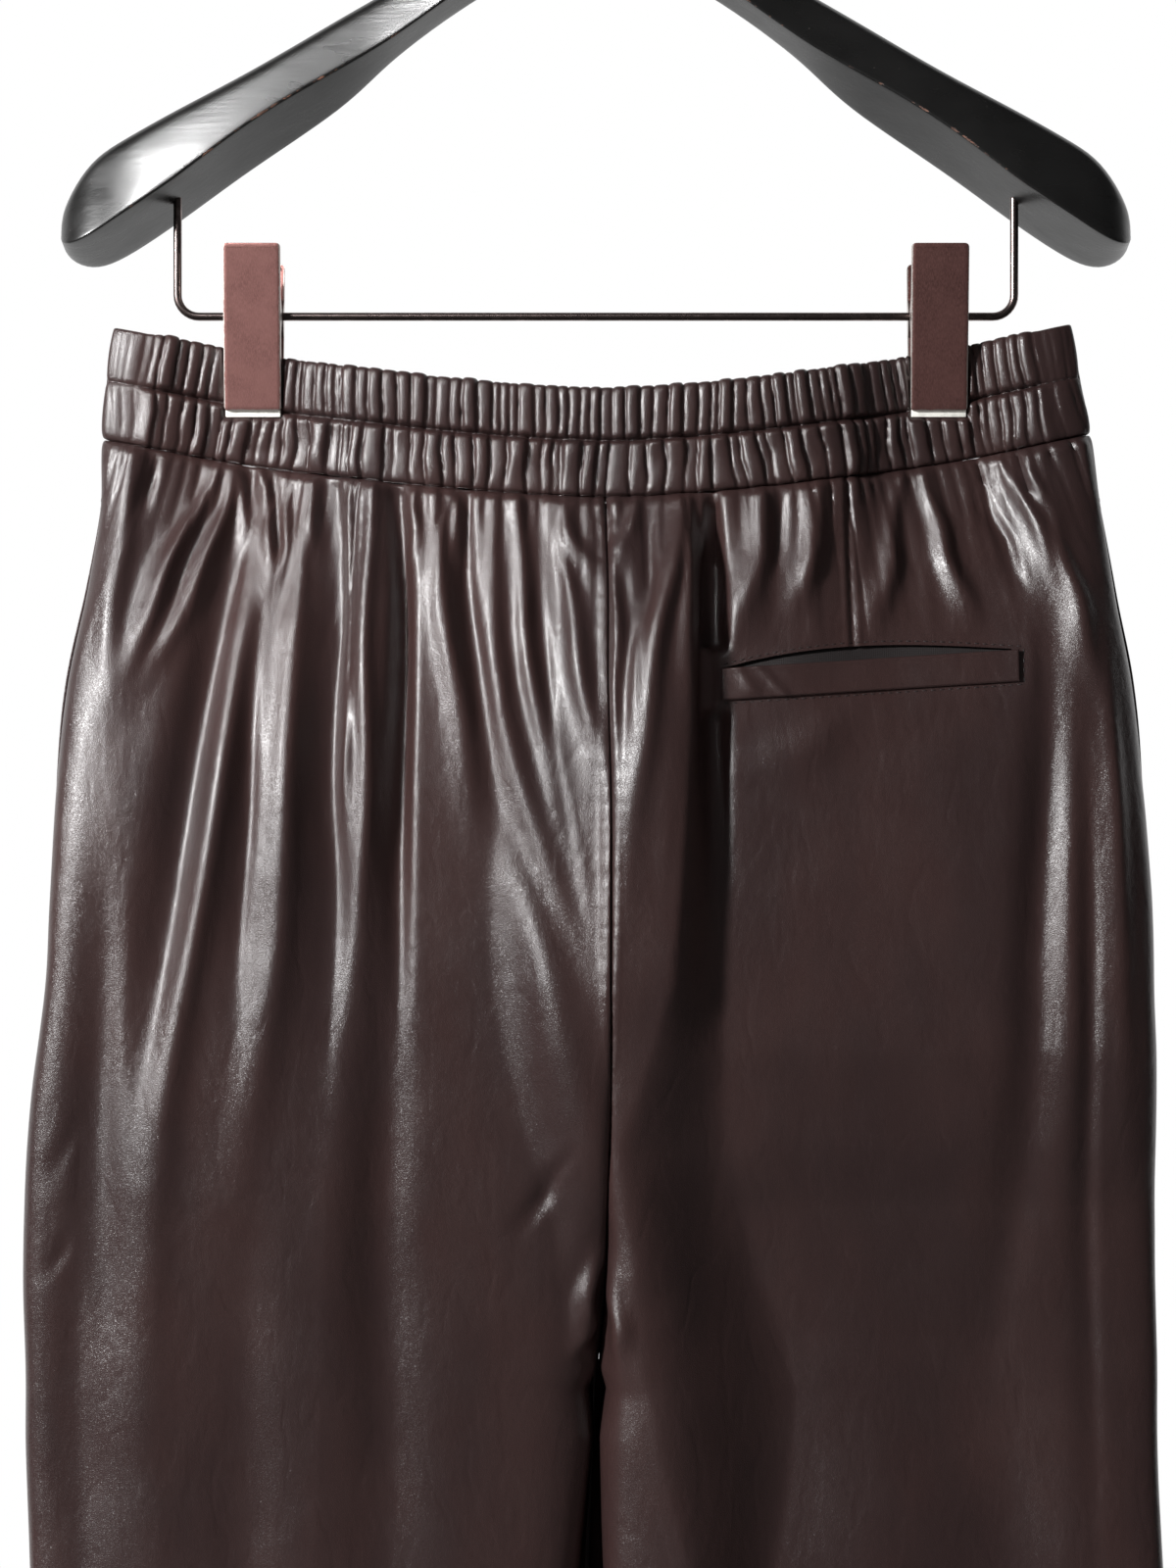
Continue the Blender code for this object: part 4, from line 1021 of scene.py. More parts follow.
def band_rows(count, close_rows=()):
    """Steps down a waistband, with more of them at its edges and beside the channel line."""
    edge = np.array([0, 0.003, 0.008, 0.016])
    beside = CHANNEL_LINE + np.array(close_rows) / BAND_DEPTH
    rows = np.linspace(0.026, 0.974, count)
    away = [row for row in rows if not len(beside) or np.min(np.abs(beside - row)) > 0.006]
    return np.sort(np.concatenate([edge, away, beside, 1 - edge]))


def back_band(cloth, forms):
    rows = band_rows(38, CHANNEL_ROWS)
    place, normal, along, down = band_grid(forms, False, BACK_BAND_STEP, rows)
    x = place[..., 0]
    relief = gathered_band(cloth, along, down, x, place[..., 2])
    relief = relief - band_seam_dip((1 - down) * BAND_DEPTH)
    # The top edge rises over each rib.
    _, rib = upper_ribs(cloth).rib(along - 0.8 * uneven(along, *UPPER_LEAN))
    edge = rib * band_end_fade(along) * (1 - under_clip(x, place[..., 2]))
    place[..., 2] += 0.9 * edge * (1 - smooth(down / 0.12))
    return walled("waist_casing_back", place, normal, relief, cloth.casing / MM)


def front_band(cloth, forms):
    rows = band_rows(16)
    place, normal, along, down = band_grid(forms, True, FRONT_BAND_STEP, rows)
    dip = band_seam_dip((1 - down) * BAND_DEPTH) / BAND_SEAM_DIP
    relief = 0.35 * smooth(np.minimum(down, 1 - down) / 0.1) - dip
    relief = relief + 0.25 * uneven(along, 19, 41) - 0.5 * bump((down - 0.06) * BAND_DEPTH, 0.8)
    return walled("waist_band_front", place, normal, relief, cloth.casing / MM)


def panel_skin(cloth, form, share, height, front, normal=None):
    """Places on a panel's outer face, and the directions out of it."""
    normal = form.normal(share, height) if normal is None else normal
    relief = panel_relief(cloth, form, share, height, front)
    return raised(form.place(share, height), normal, relief), normal


def back_skin(cloth, form, x, height):
    """The same for the back, at these distances across."""
    share = form.share_of(x, height)
    height = np.broadcast_to(np.asarray(height, float), share.shape)
    return panel_skin(cloth, form, share, height, False)


def pocket_strip(cloth, form, name, across, drops, lift, thickness, extra=0):
    """A strip of cloth along the back pocket."""
    x, drop = np.meshgrid(across, drops)
    height = pocket_line(x) + drop
    skin, normal = back_skin(cloth, form, x, height)
    return walled(name, skin, normal, lift + extra + np.zeros(x.shape), thickness)


def welt(cloth, form):
    """The stitched welt that closes the pocket from below."""
    width = POCKET_RIGHT - POCKET_LEFT
    across = POCKET_LEFT + width * crowded(width, 1.4)
    drops = -WELT_HEIGHT * crowded(WELT_HEIGHT, 0.8)
    x, drop = np.meshgrid(across, drops)
    top = 1 - smooth(-drop / 3)
    low = WELT_HEIGHT + drop
    ends = np.minimum(x - POCKET_LEFT, POCKET_RIGHT - x)
    extra = 0.35 * top + 0.35 * uneven(x, 13, 61) * (1 - np.exp(-ends / 6)) * smooth(low / 4)
    first, second = (
        high * bump(x - at + slant * drop, wide) for at, slant, high, wide in WELT_CREASES
    )
    extra = extra + first * smooth(low / 3) + second
    lift = WELT_LIFT + WELT_THICK
    return pocket_strip(cloth, form, "pocket_welt", across, drops, lift, WELT_THICK, extra)


def pocket_back(cloth, form):
    """The facing seen inside the back pocket's slit."""
    across = np.linspace(POCKET_LEFT + 1, POCKET_RIGHT - 1, 60)
    drops = np.linspace(SLOT_GAPE + FACING_MARGIN, -2 * FACING_MARGIN, 12)
    behind = -cloth.wall / MM - FACING_DROP
    return pocket_strip(cloth, form, "pocket_facing_back", across, drops, behind, FACING_THICK)


def gape(t):
    """How far open the slit is, from 0 at its ends to 1 near its middle."""
    return np.sin(np.pi * np.clip(t, 0, 1) ** SLOT_LEAN)


def cut_slit(panel):
    """Cuts the slit above the welt, which gapes most in its middle."""
    middle = (POCKET_LEFT + POCKET_RIGHT) / 2
    level = pocket_line(middle)
    start, end = POCKET_LEFT + SLOT_INSET, POCKET_RIGHT - SLOT_INSET
    knife = start_box((start, -70, level - 1.4), (end, -10, level + 1.4), "knife")
    for k in range(1, SLOT_STEPS):
        slice_all(start + (end - start) * k / SLOT_STEPS, "X")
    bpy.ops.object.mode_set(mode="OBJECT")
    for vertex in knife.data.vertices:
        x = vertex.co.x / MM
        opened = SLOT_LEAST + (SLOT_GAPE - SLOT_LEAST) * gape((x - start) / (end - start))
        vertex.co.z = (pocket_line(x) + (opened if vertex.co.z > level * MM else -SLOT_BELOW)) * MM
    cut = panel.modifiers.new("slit", "BOOLEAN")
    cut.operation = "DIFFERENCE"
    cut.solver = "EXACT"
    cut.object = knife
    apply_modifiers(panel)
    bpy.data.objects.remove(knife)


def side_pocket_facing(cloth, name, form):
    """A strip inside the side pocket's opening."""
    heights = np.linspace(SIDE_POCKET_TOP - 4, SIDE_POCKET_END + 4, 60)
    offs = np.linspace(-9, 9, 10)
    height, off = np.meshgrid(heights, offs, indexing="ij")
    share = form.beside_seam(off, height)
    relief = panel_relief(cloth, form, share, height, False) - FACING_BEHIND
    place, normal = form.place(share, height), form.normal(share, height)
    return walled(name, place, normal, relief, FACING_THICK)


# ---- Modelling helpers ----


def deselect_all():
    if bpy.context.object and bpy.context.object.mode != "OBJECT":
        bpy.ops.object.mode_set(mode="OBJECT")
    bpy.ops.object.select_all(action="DESELECT")


def make_active(obj):
    deselect_all()
    obj.select_set(True)
    bpy.context.view_layer.objects.active = obj


def apply_modifiers(obj):
    make_active(obj)
    for modifier in list(obj.modifiers):
        bpy.ops.object.modifier_apply(modifier=modifier.name)


def pick(kind, test):
    """Selects the vertices, edges or faces of the edited mesh for which the test is true."""
    bpy.ops.mesh.select_mode(type=kind)
    bpy.ops.mesh.select_all(action="DESELECT")
    obj = bpy.context.edit_object
    bm = bmesh.from_edit_mesh(obj.data)
    bm.normal_update()
    found = 0
    for part in {"VERT": bm.verts, "EDGE": bm.edges, "FACE": bm.faces}[kind]:
        if test(part):
            part.select_set(True)
            found += 1
    bm.select_flush_mode()
    bmesh.update_edit_mesh(obj.data)
    return found


def close_to(a, b, slack=0.02):
    return abs(a - b) < slack * MM


def move_picked(x=0, y=0, z=0):
    bpy.ops.transform.translate(value=(x * MM, y * MM, z * MM))


def settle():
    """Applies the active object's place, turn and scale to its mesh."""
    bpy.ops.object.transform_apply(location=True, rotation=True, scale=True)


def start_edit(name):
    """Names the primitive that was just added, and opens it in edit mode with all of it picked."""
    obj = bpy.context.object
    obj.name = name
    settle()
    bpy.ops.object.mode_set(mode="EDIT")
    bpy.ops.mesh.select_all(action="SELECT")
    return obj


def start_box(low, high, name):
    """A cube between two corners in millimetres, in edit mode."""
    deselect_all()
    middle = [(a + b) / 2 * MM for a, b in zip(low, high)]
    size = [(b - a) * MM for a, b in zip(low, high)]
    bpy.ops.mesh.primitive_cube_add(size=1, location=middle, scale=size)
    return start_edit(name)


def start_ring(centre, radius, sides, name, turn=0):
    """An open ring of points round a wire, in edit mode, turned about X."""
    deselect_all()
    place = [v * MM for v in centre]
    bpy.ops.mesh.primitive_circle_add(
        vertices=sides, radius=radius * MM, location=place, rotation=(turn, 0, 0)
    )
    ring = start_edit(name)
    bpy.ops.mesh.select_mode(type="EDGE")
    bpy.ops.mesh.select_all(action="SELECT")
    return ring


def slice_all(at, axis):
    """Cuts the whole edited mesh across, at a distance along an axis in millimetres."""
    along = [float(name == axis) for name in "XYZ"]
    bpy.ops.mesh.select_all(action="SELECT")
    bpy.ops.mesh.bisect(plane_co=[v * at * MM for v in along], plane_no=along)


def round_off(width, segments, profile=0.5, clamp=False):
    """Bevels the picked edges."""
    bpy.ops.mesh.bevel(
        offset=width * MM, segments=segments, profile=profile, affect="EDGES", clamp_overlap=clamp
    )


def draw_out(x=0, y=0, z=0, steps=1):
    """Extrudes the picked edges or faces."""
    push = (x / steps * MM, y / steps * MM, z / steps * MM)
    for _ in range(steps):
        bpy.ops.mesh.extrude_region_move(TRANSFORM_OT_translate={"value": push})


def bend(angle, centre, steps):
    """Spins the picked ring round a centre, about the line through it from front to back."""
    bpy.ops.mesh.spin(
        steps=steps, angle=math.radians(angle), center=[v * MM for v in centre], axis=(0, 1, 0)
    )


def round_end(radius, x, z):
    """Closes the picked ring with a domed end that points along X and Z."""
    for push, shrink in HOOK_DOME:
        draw_out(x * radius * push, 0, z * radius * push)
        bpy.ops.transform.resize(value=(shrink, shrink, shrink))
    bpy.ops.mesh.edge_face_add()


def close_end(test):
    """Fills the open end of a wire whose first point passes the test."""
    pick("EDGE", lambda edge: edge.is_boundary and test(edge.verts[0].co))
    bpy.ops.mesh.edge_face_add()


def leave_edit(smooth_angle=40):
    """Merges what touches, turns the faces outwards and shades the piece."""
    bpy.ops.mesh.select_all(action="SELECT")
    bpy.ops.mesh.remove_doubles(threshold=0.00001)
    bpy.ops.mesh.normals_make_consistent(inside=False)
    bpy.ops.object.mode_set(mode="OBJECT")
    bpy.ops.object.shade_smooth_by_angle(angle=math.radians(smooth_angle))


def keep(obj, finish, slot, *nodes):
    """Gives a piece its finish and its place on the model."""
    obj.data.materials.clear()
    obj.data.materials.append(finish)
    obj.data.polygons.foreach_set("material_index", [0] * len(obj.data.polygons))
    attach(obj, "root")
    if nodes:
        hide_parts(*nodes)
    return obj


def mark_points(obj, name, values):
    """Stores one number for each vertex, for a material to read."""
    layer = obj.data.attributes.new(name, "FLOAT", "POINT")
    layer.data.foreach_set("value", [float(v) for v in values])


# ---- Finishes ----


class Nodes:
    """Lays out the nodes of a material or a group."""

    def __init__(self, tree):
        self.tree = tree

    def put(self, kind, sockets=None, **settings):
        made = self.tree.nodes.new("ShaderNode" + kind)
        for name, value in settings.items():
            setattr(made, name, value)
        for name, value in (sockets or {}).items():
            self.feed(made.inputs[name], value)
        return made

    def feed(self, socket, value):
        if isinstance(value, bpy.types.NodeSocket):
            self.tree.links.new(value, socket)
        elif socket.type == "RGBA":
            socket.default_value = (*tuple(value)[:3], 1)
        else:
            socket.default_value = value

    def times(self, a, b):
        return self.sum("MULTIPLY", a, b)

    def sum(self, operation, a, b=0.5, clamp=False):
        made = self.put("Math", {0: a, 1: b}, operation=operation)
        made.use_clamp = clamp
        return made.outputs[0]

    def shift(self, a, b, factor=1.0):
        """A vector plus a scaled one."""
        grown = self.put("VectorMath", {0: b, "Scale": factor}, operation="SCALE").outputs[0]
        return self.put("VectorMath", {0: a, 1: grown}, operation="ADD").outputs[0]

    def stretch(self, vector, scale):
        return self.put("VectorMath", {0: vector, 1: scale}, operation="MULTIPLY").outputs[0]

    def spread(self, value, low, high, to_low=0.0, to_high=1.0, kind="SMOOTHSTEP"):
        """Maps one range of a value to another, easing in and out of its ends."""
        ends = {"From Min": low, "From Max": high, "To Min": to_low, "To Max": to_high}
        return self.put("MapRange", {"Value": value, **ends}, interpolation_type=kind).outputs[0]

    def even(self, value, *ends):
        """Maps one range of a value to another in a straight line."""
        return self.spread(value, *ends, "LINEAR")

    def blend(self, factor, a, b):
        """A mix of two colours."""
        made = self.put("Mix", data_type="RGBA")
        for socket, value in zip((0, 6, 7), (factor, a, b)):
            self.feed(made.inputs[socket], value)
        return made.outputs[2]

    def noise(self, vector, scale, detail=2.0, rough=0.5):
        sockets = {"Vector": vector, "Scale": scale, "Detail": detail, "Roughness": rough}
        return self.put("TexNoise", sockets)

    def cells(self, vector, scale, feature="F1"):
        made = self.put("TexVoronoi", {"Vector": vector, "Scale": scale}, feature=feature)
        return made.outputs["Distance"]

    def bump(self, height, distance, strength=1.0, normal=None):
        sockets = {"Height": height, "Distance": distance, "Strength": strength}
        if normal is not None:
            sockets["Normal"] = normal
        return self.put("Bump", sockets).outputs[0]


def leather_grain(n, given, result):
    """Fine pebbled grain: rounded cells with narrow grooves between them, in two sizes, and a mask
    of the grooves for painted shade.
    """
    place, scale = given["Vector"], given["Scale"]
    warp = n.noise(place, n.times(scale, 0.35), 1.0)
    moved = n.shift(place, warp.outputs["Color"], 0.0006)
    pebble = n.cells(moved, scale, "DISTANCE_TO_EDGE")
    small = n.cells(moved, n.times(scale, 2.3))
    n.feed(result["Height"], n.sum("SUBTRACT", n.spread(pebble, 0.0, 0.42), n.times(small, 0.45)))
    # The grooves' mask, by which the colour is darkened as painted shade in the grain's recesses.
    n.feed(result["Groove"], n.spread(pebble, 0.16, 0.0))


def crinkles(n, given, result):
    """Soft creases of uneven size, as a coated cloth gets when it is worn and handled."""
    place, scale = given["Vector"], given["Scale"]
    warp = n.noise(place, n.times(scale, 0.4), 2.0)
    moved = n.shift(place, warp.outputs["Color"], 0.02)
    folds = n.noise(moved, scale, 3.0, 0.55).outputs["Fac"]
    crease = n.spread(n.sum("ABSOLUTE", n.sum("SUBTRACT", folds, 0.5)), 0.0, 0.09)
    n.feed(result["Height"], n.sum("ADD", n.times(crease, 0.5), folds))


def edge_wear(n, given, result):
    """Where a finish has rubbed off: near an edge, in uneven nicks."""
    place, scale = given["Vector"], given["Scale"]
    patch = n.noise(place, scale, 4.0, 0.65).outputs["Fac"]
    broad = n.noise(place, n.times(scale, 0.16), 1.0).outputs["Fac"]
    near = n.sum("SUBTRACT", 1.0, n.sum("DIVIDE", given["Distance"], given["Reach"]), True)
    both = n.sum("ADD", patch, n.times(broad, 0.6))
    level = n.sum("ADD", n.times(near, 0.5), n.times(given["Amount"], 0.35))
    edge = n.sum("SUBTRACT", n.sum("ADD", both, level), 1.32)
    n.feed(result["Mask"], n.times(n.spread(edge, 0.0, 0.05), n.spread(near, 0.0, 0.25)))


# Each shared effect: what lays it out, what it is given and what it puts out.
EFFECTS = {
    "leather grain": (leather_grain, ("Vector", "Scale"), ("Height", "Groove")),
    "crinkles": (crinkles, ("Vector", "Scale"), ("Height",)),
    "edge wear": (edge_wear, ("Vector", "Distance", "Reach", "Amount", "Scale"), ("Mask",)),
}


def effect(n, title, **sockets):
    """Places a shared effect in a material, with its own values. It is built on its first use."""
    group = bpy.data.node_groups.get(title)
    if not group:
        lay_out_nodes, *ways = EFFECTS[title]
        group = bpy.data.node_groups.new(title, "ShaderNodeTree")
        for way, names in zip(("INPUT", "OUTPUT"), ways):
            for name in names:
                kind = "NodeSocketVector" if name == "Vector" else "NodeSocketFloat"
                group.interface.new_socket(name=name, in_out=way, socket_type=kind)
        given = group.nodes.new("NodeGroupInput").outputs
        lay_out_nodes(Nodes(group), given, group.nodes.new("NodeGroupOutput").inputs)
    made = n.tree.nodes.new("ShaderNodeGroup")
    made.node_tree = group
    for name, value in sockets.items():
        n.feed(made.inputs[name], value)
    return made.outputs


def start_material(name):
    material = bpy.data.materials.new(name)
    material.use_nodes = True
    n = Nodes(material.node_tree)
    return material, n, n.put("TexCoord").outputs["Object"]


def shade(n, color, rough, normal=None, **plain):
    """Joins the nodes to the material's shader, and sets its plain numbers."""
    shader = n.tree.nodes["Principled BSDF"].inputs
    for name, value in (("Base Color", color), ("Roughness", rough), ("Normal", normal)):
        if value is not None:
            n.feed(shader[name], value)
    for name, value in plain.items():
        shader[name.replace("_", " ")].default_value = value


def shaded(color, share):
    """A colour, darker or brighter by a share."""
    return [min(1, v * share) for v in color]


def faux_leather(cloth):
    """Glossy coated cloth with a fine pebbled grain and soft handling creases."""
    material, n, place = start_material("faux leather")
    grain = effect(n, "leather grain", Vector=place, Scale=1 / cloth.grain)
    crease = effect(n, "crinkles", Vector=n.stretch(place, (1.0, 1.0, 0.5)), Scale=46.0)
    fine = n.noise(n.stretch(place, (1.0, 1.0, 0.6)), 260.0).outputs["Fac"]
    tone = n.noise(n.stretch(place, (1.0, 1.0, 0.4)), 22.0, 3.0).outputs["Fac"]
    color = n.blend(n.spread(tone, 0.35, 0.68), cloth.leather, cloth.leather_warm)
    # Painted shade: the grain's grooves are darkened in the colour.
    color = n.blend(n.times(grain["Groove"], 0.4), color, (0.010, 0.006, 0.006))
    patch = n.noise(place, 60.0, 3.0).outputs["Fac"]
    bent = n.bump(fine, 0.00022, 0.4, n.bump(crease["Height"], 0.0008, 0.22))
    normal = n.bump(grain["Height"], 0.00006, 0.7, bent)
    rough = n.even(patch, 0.3, 0.7, 0.30, 0.37)
    shade(n, color, rough, normal, IOR=1.5, Coat_Weight=cloth.gloss * 0.1, Coat_Roughness=0.22)
    return material


def facing_cloth(cloth):
    """Matt woven facing inside the pockets: fine upright and level threads, in a colour that is
    partly its own and partly painted shade of the pockets' insides.
    """
    material, n, place = start_material("pocket facing cloth")
    yarn = {"Vector": place, "Scale": 420.0, "Distortion": 0.6, "Detail": 1.0}
    warp, weft = (n.put("TexWave", yarn, bands_direction=way).outputs["Fac"] for way in "XZ")
    weave = n.sum("MAXIMUM", warp, weft)
    color = n.blend(weave, shaded(cloth.facing, 0.5), cloth.facing)
    shade(n, color, n.even(weave, 0.0, 1.0, 0.75, 0.6), n.bump(weave, 0.0001, 0.6))
    return material


def sewing_thread(cloth):
    """Twisted polyester thread."""
    material, n, place = start_material("sewing thread")
    plies = {"Vector": place, "Scale": 900.0, "Distortion": 1.0}
    twist = n.put("TexWave", plies, bands_direction="DIAGONAL").outputs["Fac"]
    color = n.blend(twist, shaded(cloth.thread, 0.55), cloth.thread)
    shade(n, color, n.even(twist, 0.0, 1.0, 0.62, 0.45), n.bump(twist, 0.00004, 0.6))
    return material


def lacquered_wood(hanger):
    """Black lacquer over wood, rubbed through along its lower front ridge."""
    material, n, place = start_material("worn black lacquer")
    ridge = n.put("Attribute", attribute_name="from_ridge").outputs["Fac"]
    worn = effect(
        n, "edge wear", Vector=n.stretch(place, (0.45, 1.0, 1.0)), Distance=ridge, Reach=0.0016,
        Amount=hanger.wear, Scale=420.0,
    )["Mask"]
    pore = n.noise(n.stretch(place, (0.12, 1.0, 1.0)), 520.0, 3.0).outputs["Fac"]
    ripple = n.noise(place, 38.0).outputs["Fac"]
    fleck = n.spread(n.cells(place, 190.0), 0.07, 0.03)
    tone = n.blend(n.spread(ripple, 0.3, 0.7), hanger.lacquer, shaded(hanger.lacquer, 1.5))
    wood = n.blend(n.spread(pore, 0.4, 0.6), hanger.bare_wood, shaded(hanger.bare_wood, 0.35))
    color = n.blend(n.times(fleck, 0.35), n.blend(worn, tone, wood), (0.12, 0.11, 0.10))
    rubbed = n.noise(n.stretch(place, (0.3, 1.0, 1.0)), 90.0, 3.0).outputs["Fac"]
    rough = n.sum("ADD", n.even(rubbed, 0.3, 0.7, 0.24, 0.36), n.times(worn, 0.3))
    flowed = n.bump(ripple, 0.0003, 0.2, n.bump(pore, 0.00012, 0.5))
    normal = n.bump(n.sum("SUBTRACT", 0.0, worn), 0.00015, 0.6, flowed)
    shade(n, color, rough, normal, Coat_Weight=0.12, Coat_Roughness=0.12)
    return material


def plated_wire(hanger):
    """Dark plated steel wire with faint drawing lines and rubbed patches."""
    material, n, place = start_material("dark plated wire")
    lines = n.noise(n.stretch(place, (0.06, 1.0, 1.0)), 2600.0).outputs["Fac"]
    patch = n.noise(place, 150.0, 4.0, 0.6).outputs["Fac"]
    color = n.blend(n.spread(patch, 0.5, 0.72), hanger.wire, shaded(hanger.wire, 2.0))
    shade(n, color, n.even(patch, 0.3, 0.7, 0.34, 0.24), n.bump(lines, 0.00002, 0.4), Metallic=1.0)
    return material


def brushed_plate(hanger):
    """Coppery plate, brushed from top to bottom, its rims rubbed down to bright metal."""
    material, n, place = start_material("brushed copper plate")
    rim = n.put("Attribute", attribute_name="from_rim").outputs["Fac"]
    brush = n.noise(n.stretch(place, (1.0, 1.0, 0.08)), 5200.0, 3.0, 0.6).outputs["Fac"]
    cloud = n.noise(place, 85.0, 4.0, 0.6).outputs["Fac"]
    worn = effect(n, "edge wear", Vector=place, Distance=rim, Reach=0.0007, Amount=1.1, Scale=500.0)
    tone = n.blend(n.spread(cloud, 0.35, 0.65), shaded(hanger.plate, 0.8), hanger.plate)
    streak = n.blend(n.spread(brush, 0.35, 0.7), tone, shaded(hanger.plate, 1.2))
    color = n.blend(worn["Mask"], streak, (0.52, 0.46, 0.43))
    shade(n, color, n.even(brush, 0.2, 0.8, 0.38, 0.48), n.bump(brush, 0.00003, 0.5), Metallic=1.0)
    return material


def soft_pad(hanger):
    """Cream rubber pad, slightly grubby, with a fine moulded texture."""
    material, n, place = start_material("cream pad")
    grub = n.noise(place, 260.0, 3.0).outputs["Fac"]
    color = n.blend(n.spread(grub, 0.42, 0.7), hanger.pad, shaded(hanger.pad, 0.78))
    moulded = n.bump(n.noise(place, 1500.0).outputs["Fac"], 0.00005, 0.5)
    shade(n, color, n.even(grub, 0.3, 0.7, 0.5, 0.65), moulded)
    return material


def pale_floor(stage):
    """Plain pale studio floor with a faint mottle."""
    material, n, place = start_material("pale floor")
    mottle = n.noise(place, 3.0, 3.0).outputs["Fac"]
    color = n.blend(mottle, stage.floor, shaded(stage.floor, 0.97))
    shade(n, color, n.even(mottle, 0.3, 0.7, 0.75, 0.85))
    return material


# Each finish: what makes it, and the settings that it reads.
FINISHES = {
    "faux leather": (faux_leather, "shorts_cloth"),
    "pocket facing cloth": (facing_cloth, "shorts_cloth"),
    "sewing thread": (sewing_thread, "shorts_cloth"),
    "worn black lacquer": (lacquered_wood, "shorts_hanger"),
    "dark plated wire": (plated_wire, "shorts_hanger"),
    "brushed copper plate": (brushed_plate, "shorts_hanger"),
    "cream pad": (soft_pad, "shorts_hanger"),
    "pale floor": (pale_floor, "shorts_stage"),
}


def finish(title):
    """A material by its title, made on its first use."""
    make, settings = FINISHES[title]
    return bpy.data.materials.get(title) or make(getattr(bpy.context.scene, settings))


# ---- Stitching ----


def single_stitch(cloth):
    """One visible stitch: a short thread whose ends dip into the cloth. Along X, in millimetres."""
    deselect_all()
    turn = (0, math.pi / 2, 0)
    bpy.ops.mesh.primitive_cylinder_add(vertices=6, radius=0.5, depth=1, rotation=turn)
    stitch = start_edit("stitch")
    for cut in (-0.25, 0.25):
        slice_all(cut / MM, "X")
    for end in (-1, 1):
        pick("FACE", lambda face: face.normal.x * end > 0.9)
        bpy.ops.transform.resize(value=(0.5, 0.5, 0.5))
        bpy.ops.transform.translate(value=(0, 0, -0.45))
    leave_edit(60)
    points = np.array([vertex.co for vertex in stitch.data.vertices], float)
    faces = [tuple(face.vertices) for face in stitch.data.polygons]
    bpy.data.objects.remove(stitch)
    scale = np.array([cloth.stitch, cloth.thread_width, cloth.thread_width]) / MM
    return points * scale, faces


# How far ahead of a stitch and behind it its direction is read, and how deep it lies.
STITCH_REACH = 0.9
STITCH_SINK = 0.1


def sew(cloth, name, runs, thread):
    """Rows of stitches along runs of places and outward directions, joined as one piece."""
    shape, faces = single_stitch(cloth)
    points, polygons = [], []
    pitch = (cloth.stitch + cloth.stitch_gap) / MM
    for places, normals in runs:
        steps = np.linalg.norm(np.diff(places, axis=0), axis=1)
        along = np.concatenate([[0], np.cumsum(steps)])
        count = max(1, int(along[-1] / pitch))
        centres = (np.arange(count) + 0.5) * along[-1] / count

        def at(values, shift=0.0):
            return np.stack([np.interp(centres + shift, along, column) for column in values.T], 1)

        rows = at(places), at(places, STITCH_REACH), at(places, -STITCH_REACH), at(normals)
        for middle, ahead, behind, up in zip(*rows):
            forward = (ahead - behind) / np.linalg.norm(ahead - behind)
            side = np.cross(up, forward)
            side /= np.linalg.norm(side)
            top = np.cross(forward, side)
            start = len(points) * len(shape)
            points.append(middle - top * STITCH_SINK + shape @ np.array([forward, side, top]))
            polygons += [tuple(start + v for v in face) for face in faces]
    mesh = bpy.data.meshes.new(name)
    mesh.from_pydata((np.concatenate(points) * MM).tolist(), [], polygons)
    mesh.shade_smooth()
    return keep(link_piece(name, mesh), thread, "faux_leather")


def channel_run(cloth, forms):
    """The line of stitching between the casing's two channels."""
    rows = np.array([CHANNEL_LINE - 0.001, CHANNEL_LINE, CHANNEL_LINE + 0.001])
    place, normal, along, down = band_grid(forms, False, 0.6, rows)
    relief = gathered_band(cloth, along, down, place[..., 0], place[..., 2])
    shown = np.abs(along[1]) < BAND_REACH - 3
    return raised(place, normal, relief)[1][shown], normal[1][shown]


def hem_run(cloth, form, front):
    """Round the hem, at the edge of its turning."""
    level = lambda x, _: HEM + HEM_DEEP + 0 * x
    share, height = lay_out(form, front, crowded(240, 2.0), np.array([0.5]), level)
    normal = panel_normals(form, share, height)
    skin, normal = panel_skin(cloth, form, share, height, front, normal)
    inside = form.from_middle(share, height)[0] > 3
    return skin[0][inside], normal[0][inside]


POCKET_EDGE_OFF = 4.0


def pocket_edge_run(cloth, form, front):
    """Beside a side pocket's edge."""
    height = np.linspace(SIDE_POCKET_TOP - 2, SIDE_POCKET_END, 90)[None, :]
    share = form.beside_seam(POCKET_EDGE_OFF if front else -POCKET_EDGE_OFF, height)
    skin, normal = panel_skin(cloth, form, share, height, front)
    return skin[0], normal[0]


def back_pocket_runs(cloth, form):
    """Under the welt, down past its right end, and above the slit."""
    start, end = POCKET_LEFT + 0.5, POCKET_RIGHT + 1.8
    across = np.linspace(start, end, 90)
    line = pocket_line(across)
    low = WELT_HEIGHT + 1.2
    down = np.linspace(-1.5, low, 40)
    opened = SLOT_GAPE * gape(np.linspace(0, 1, len(across)))
    yield back_skin(cloth, form, across, line - low)
    yield back_skin(cloth, form, end + 0 * down, pocket_line(end) - down)
    yield back_skin(cloth, form, across, line + opened + 1.5)


# ---- The hanger ----

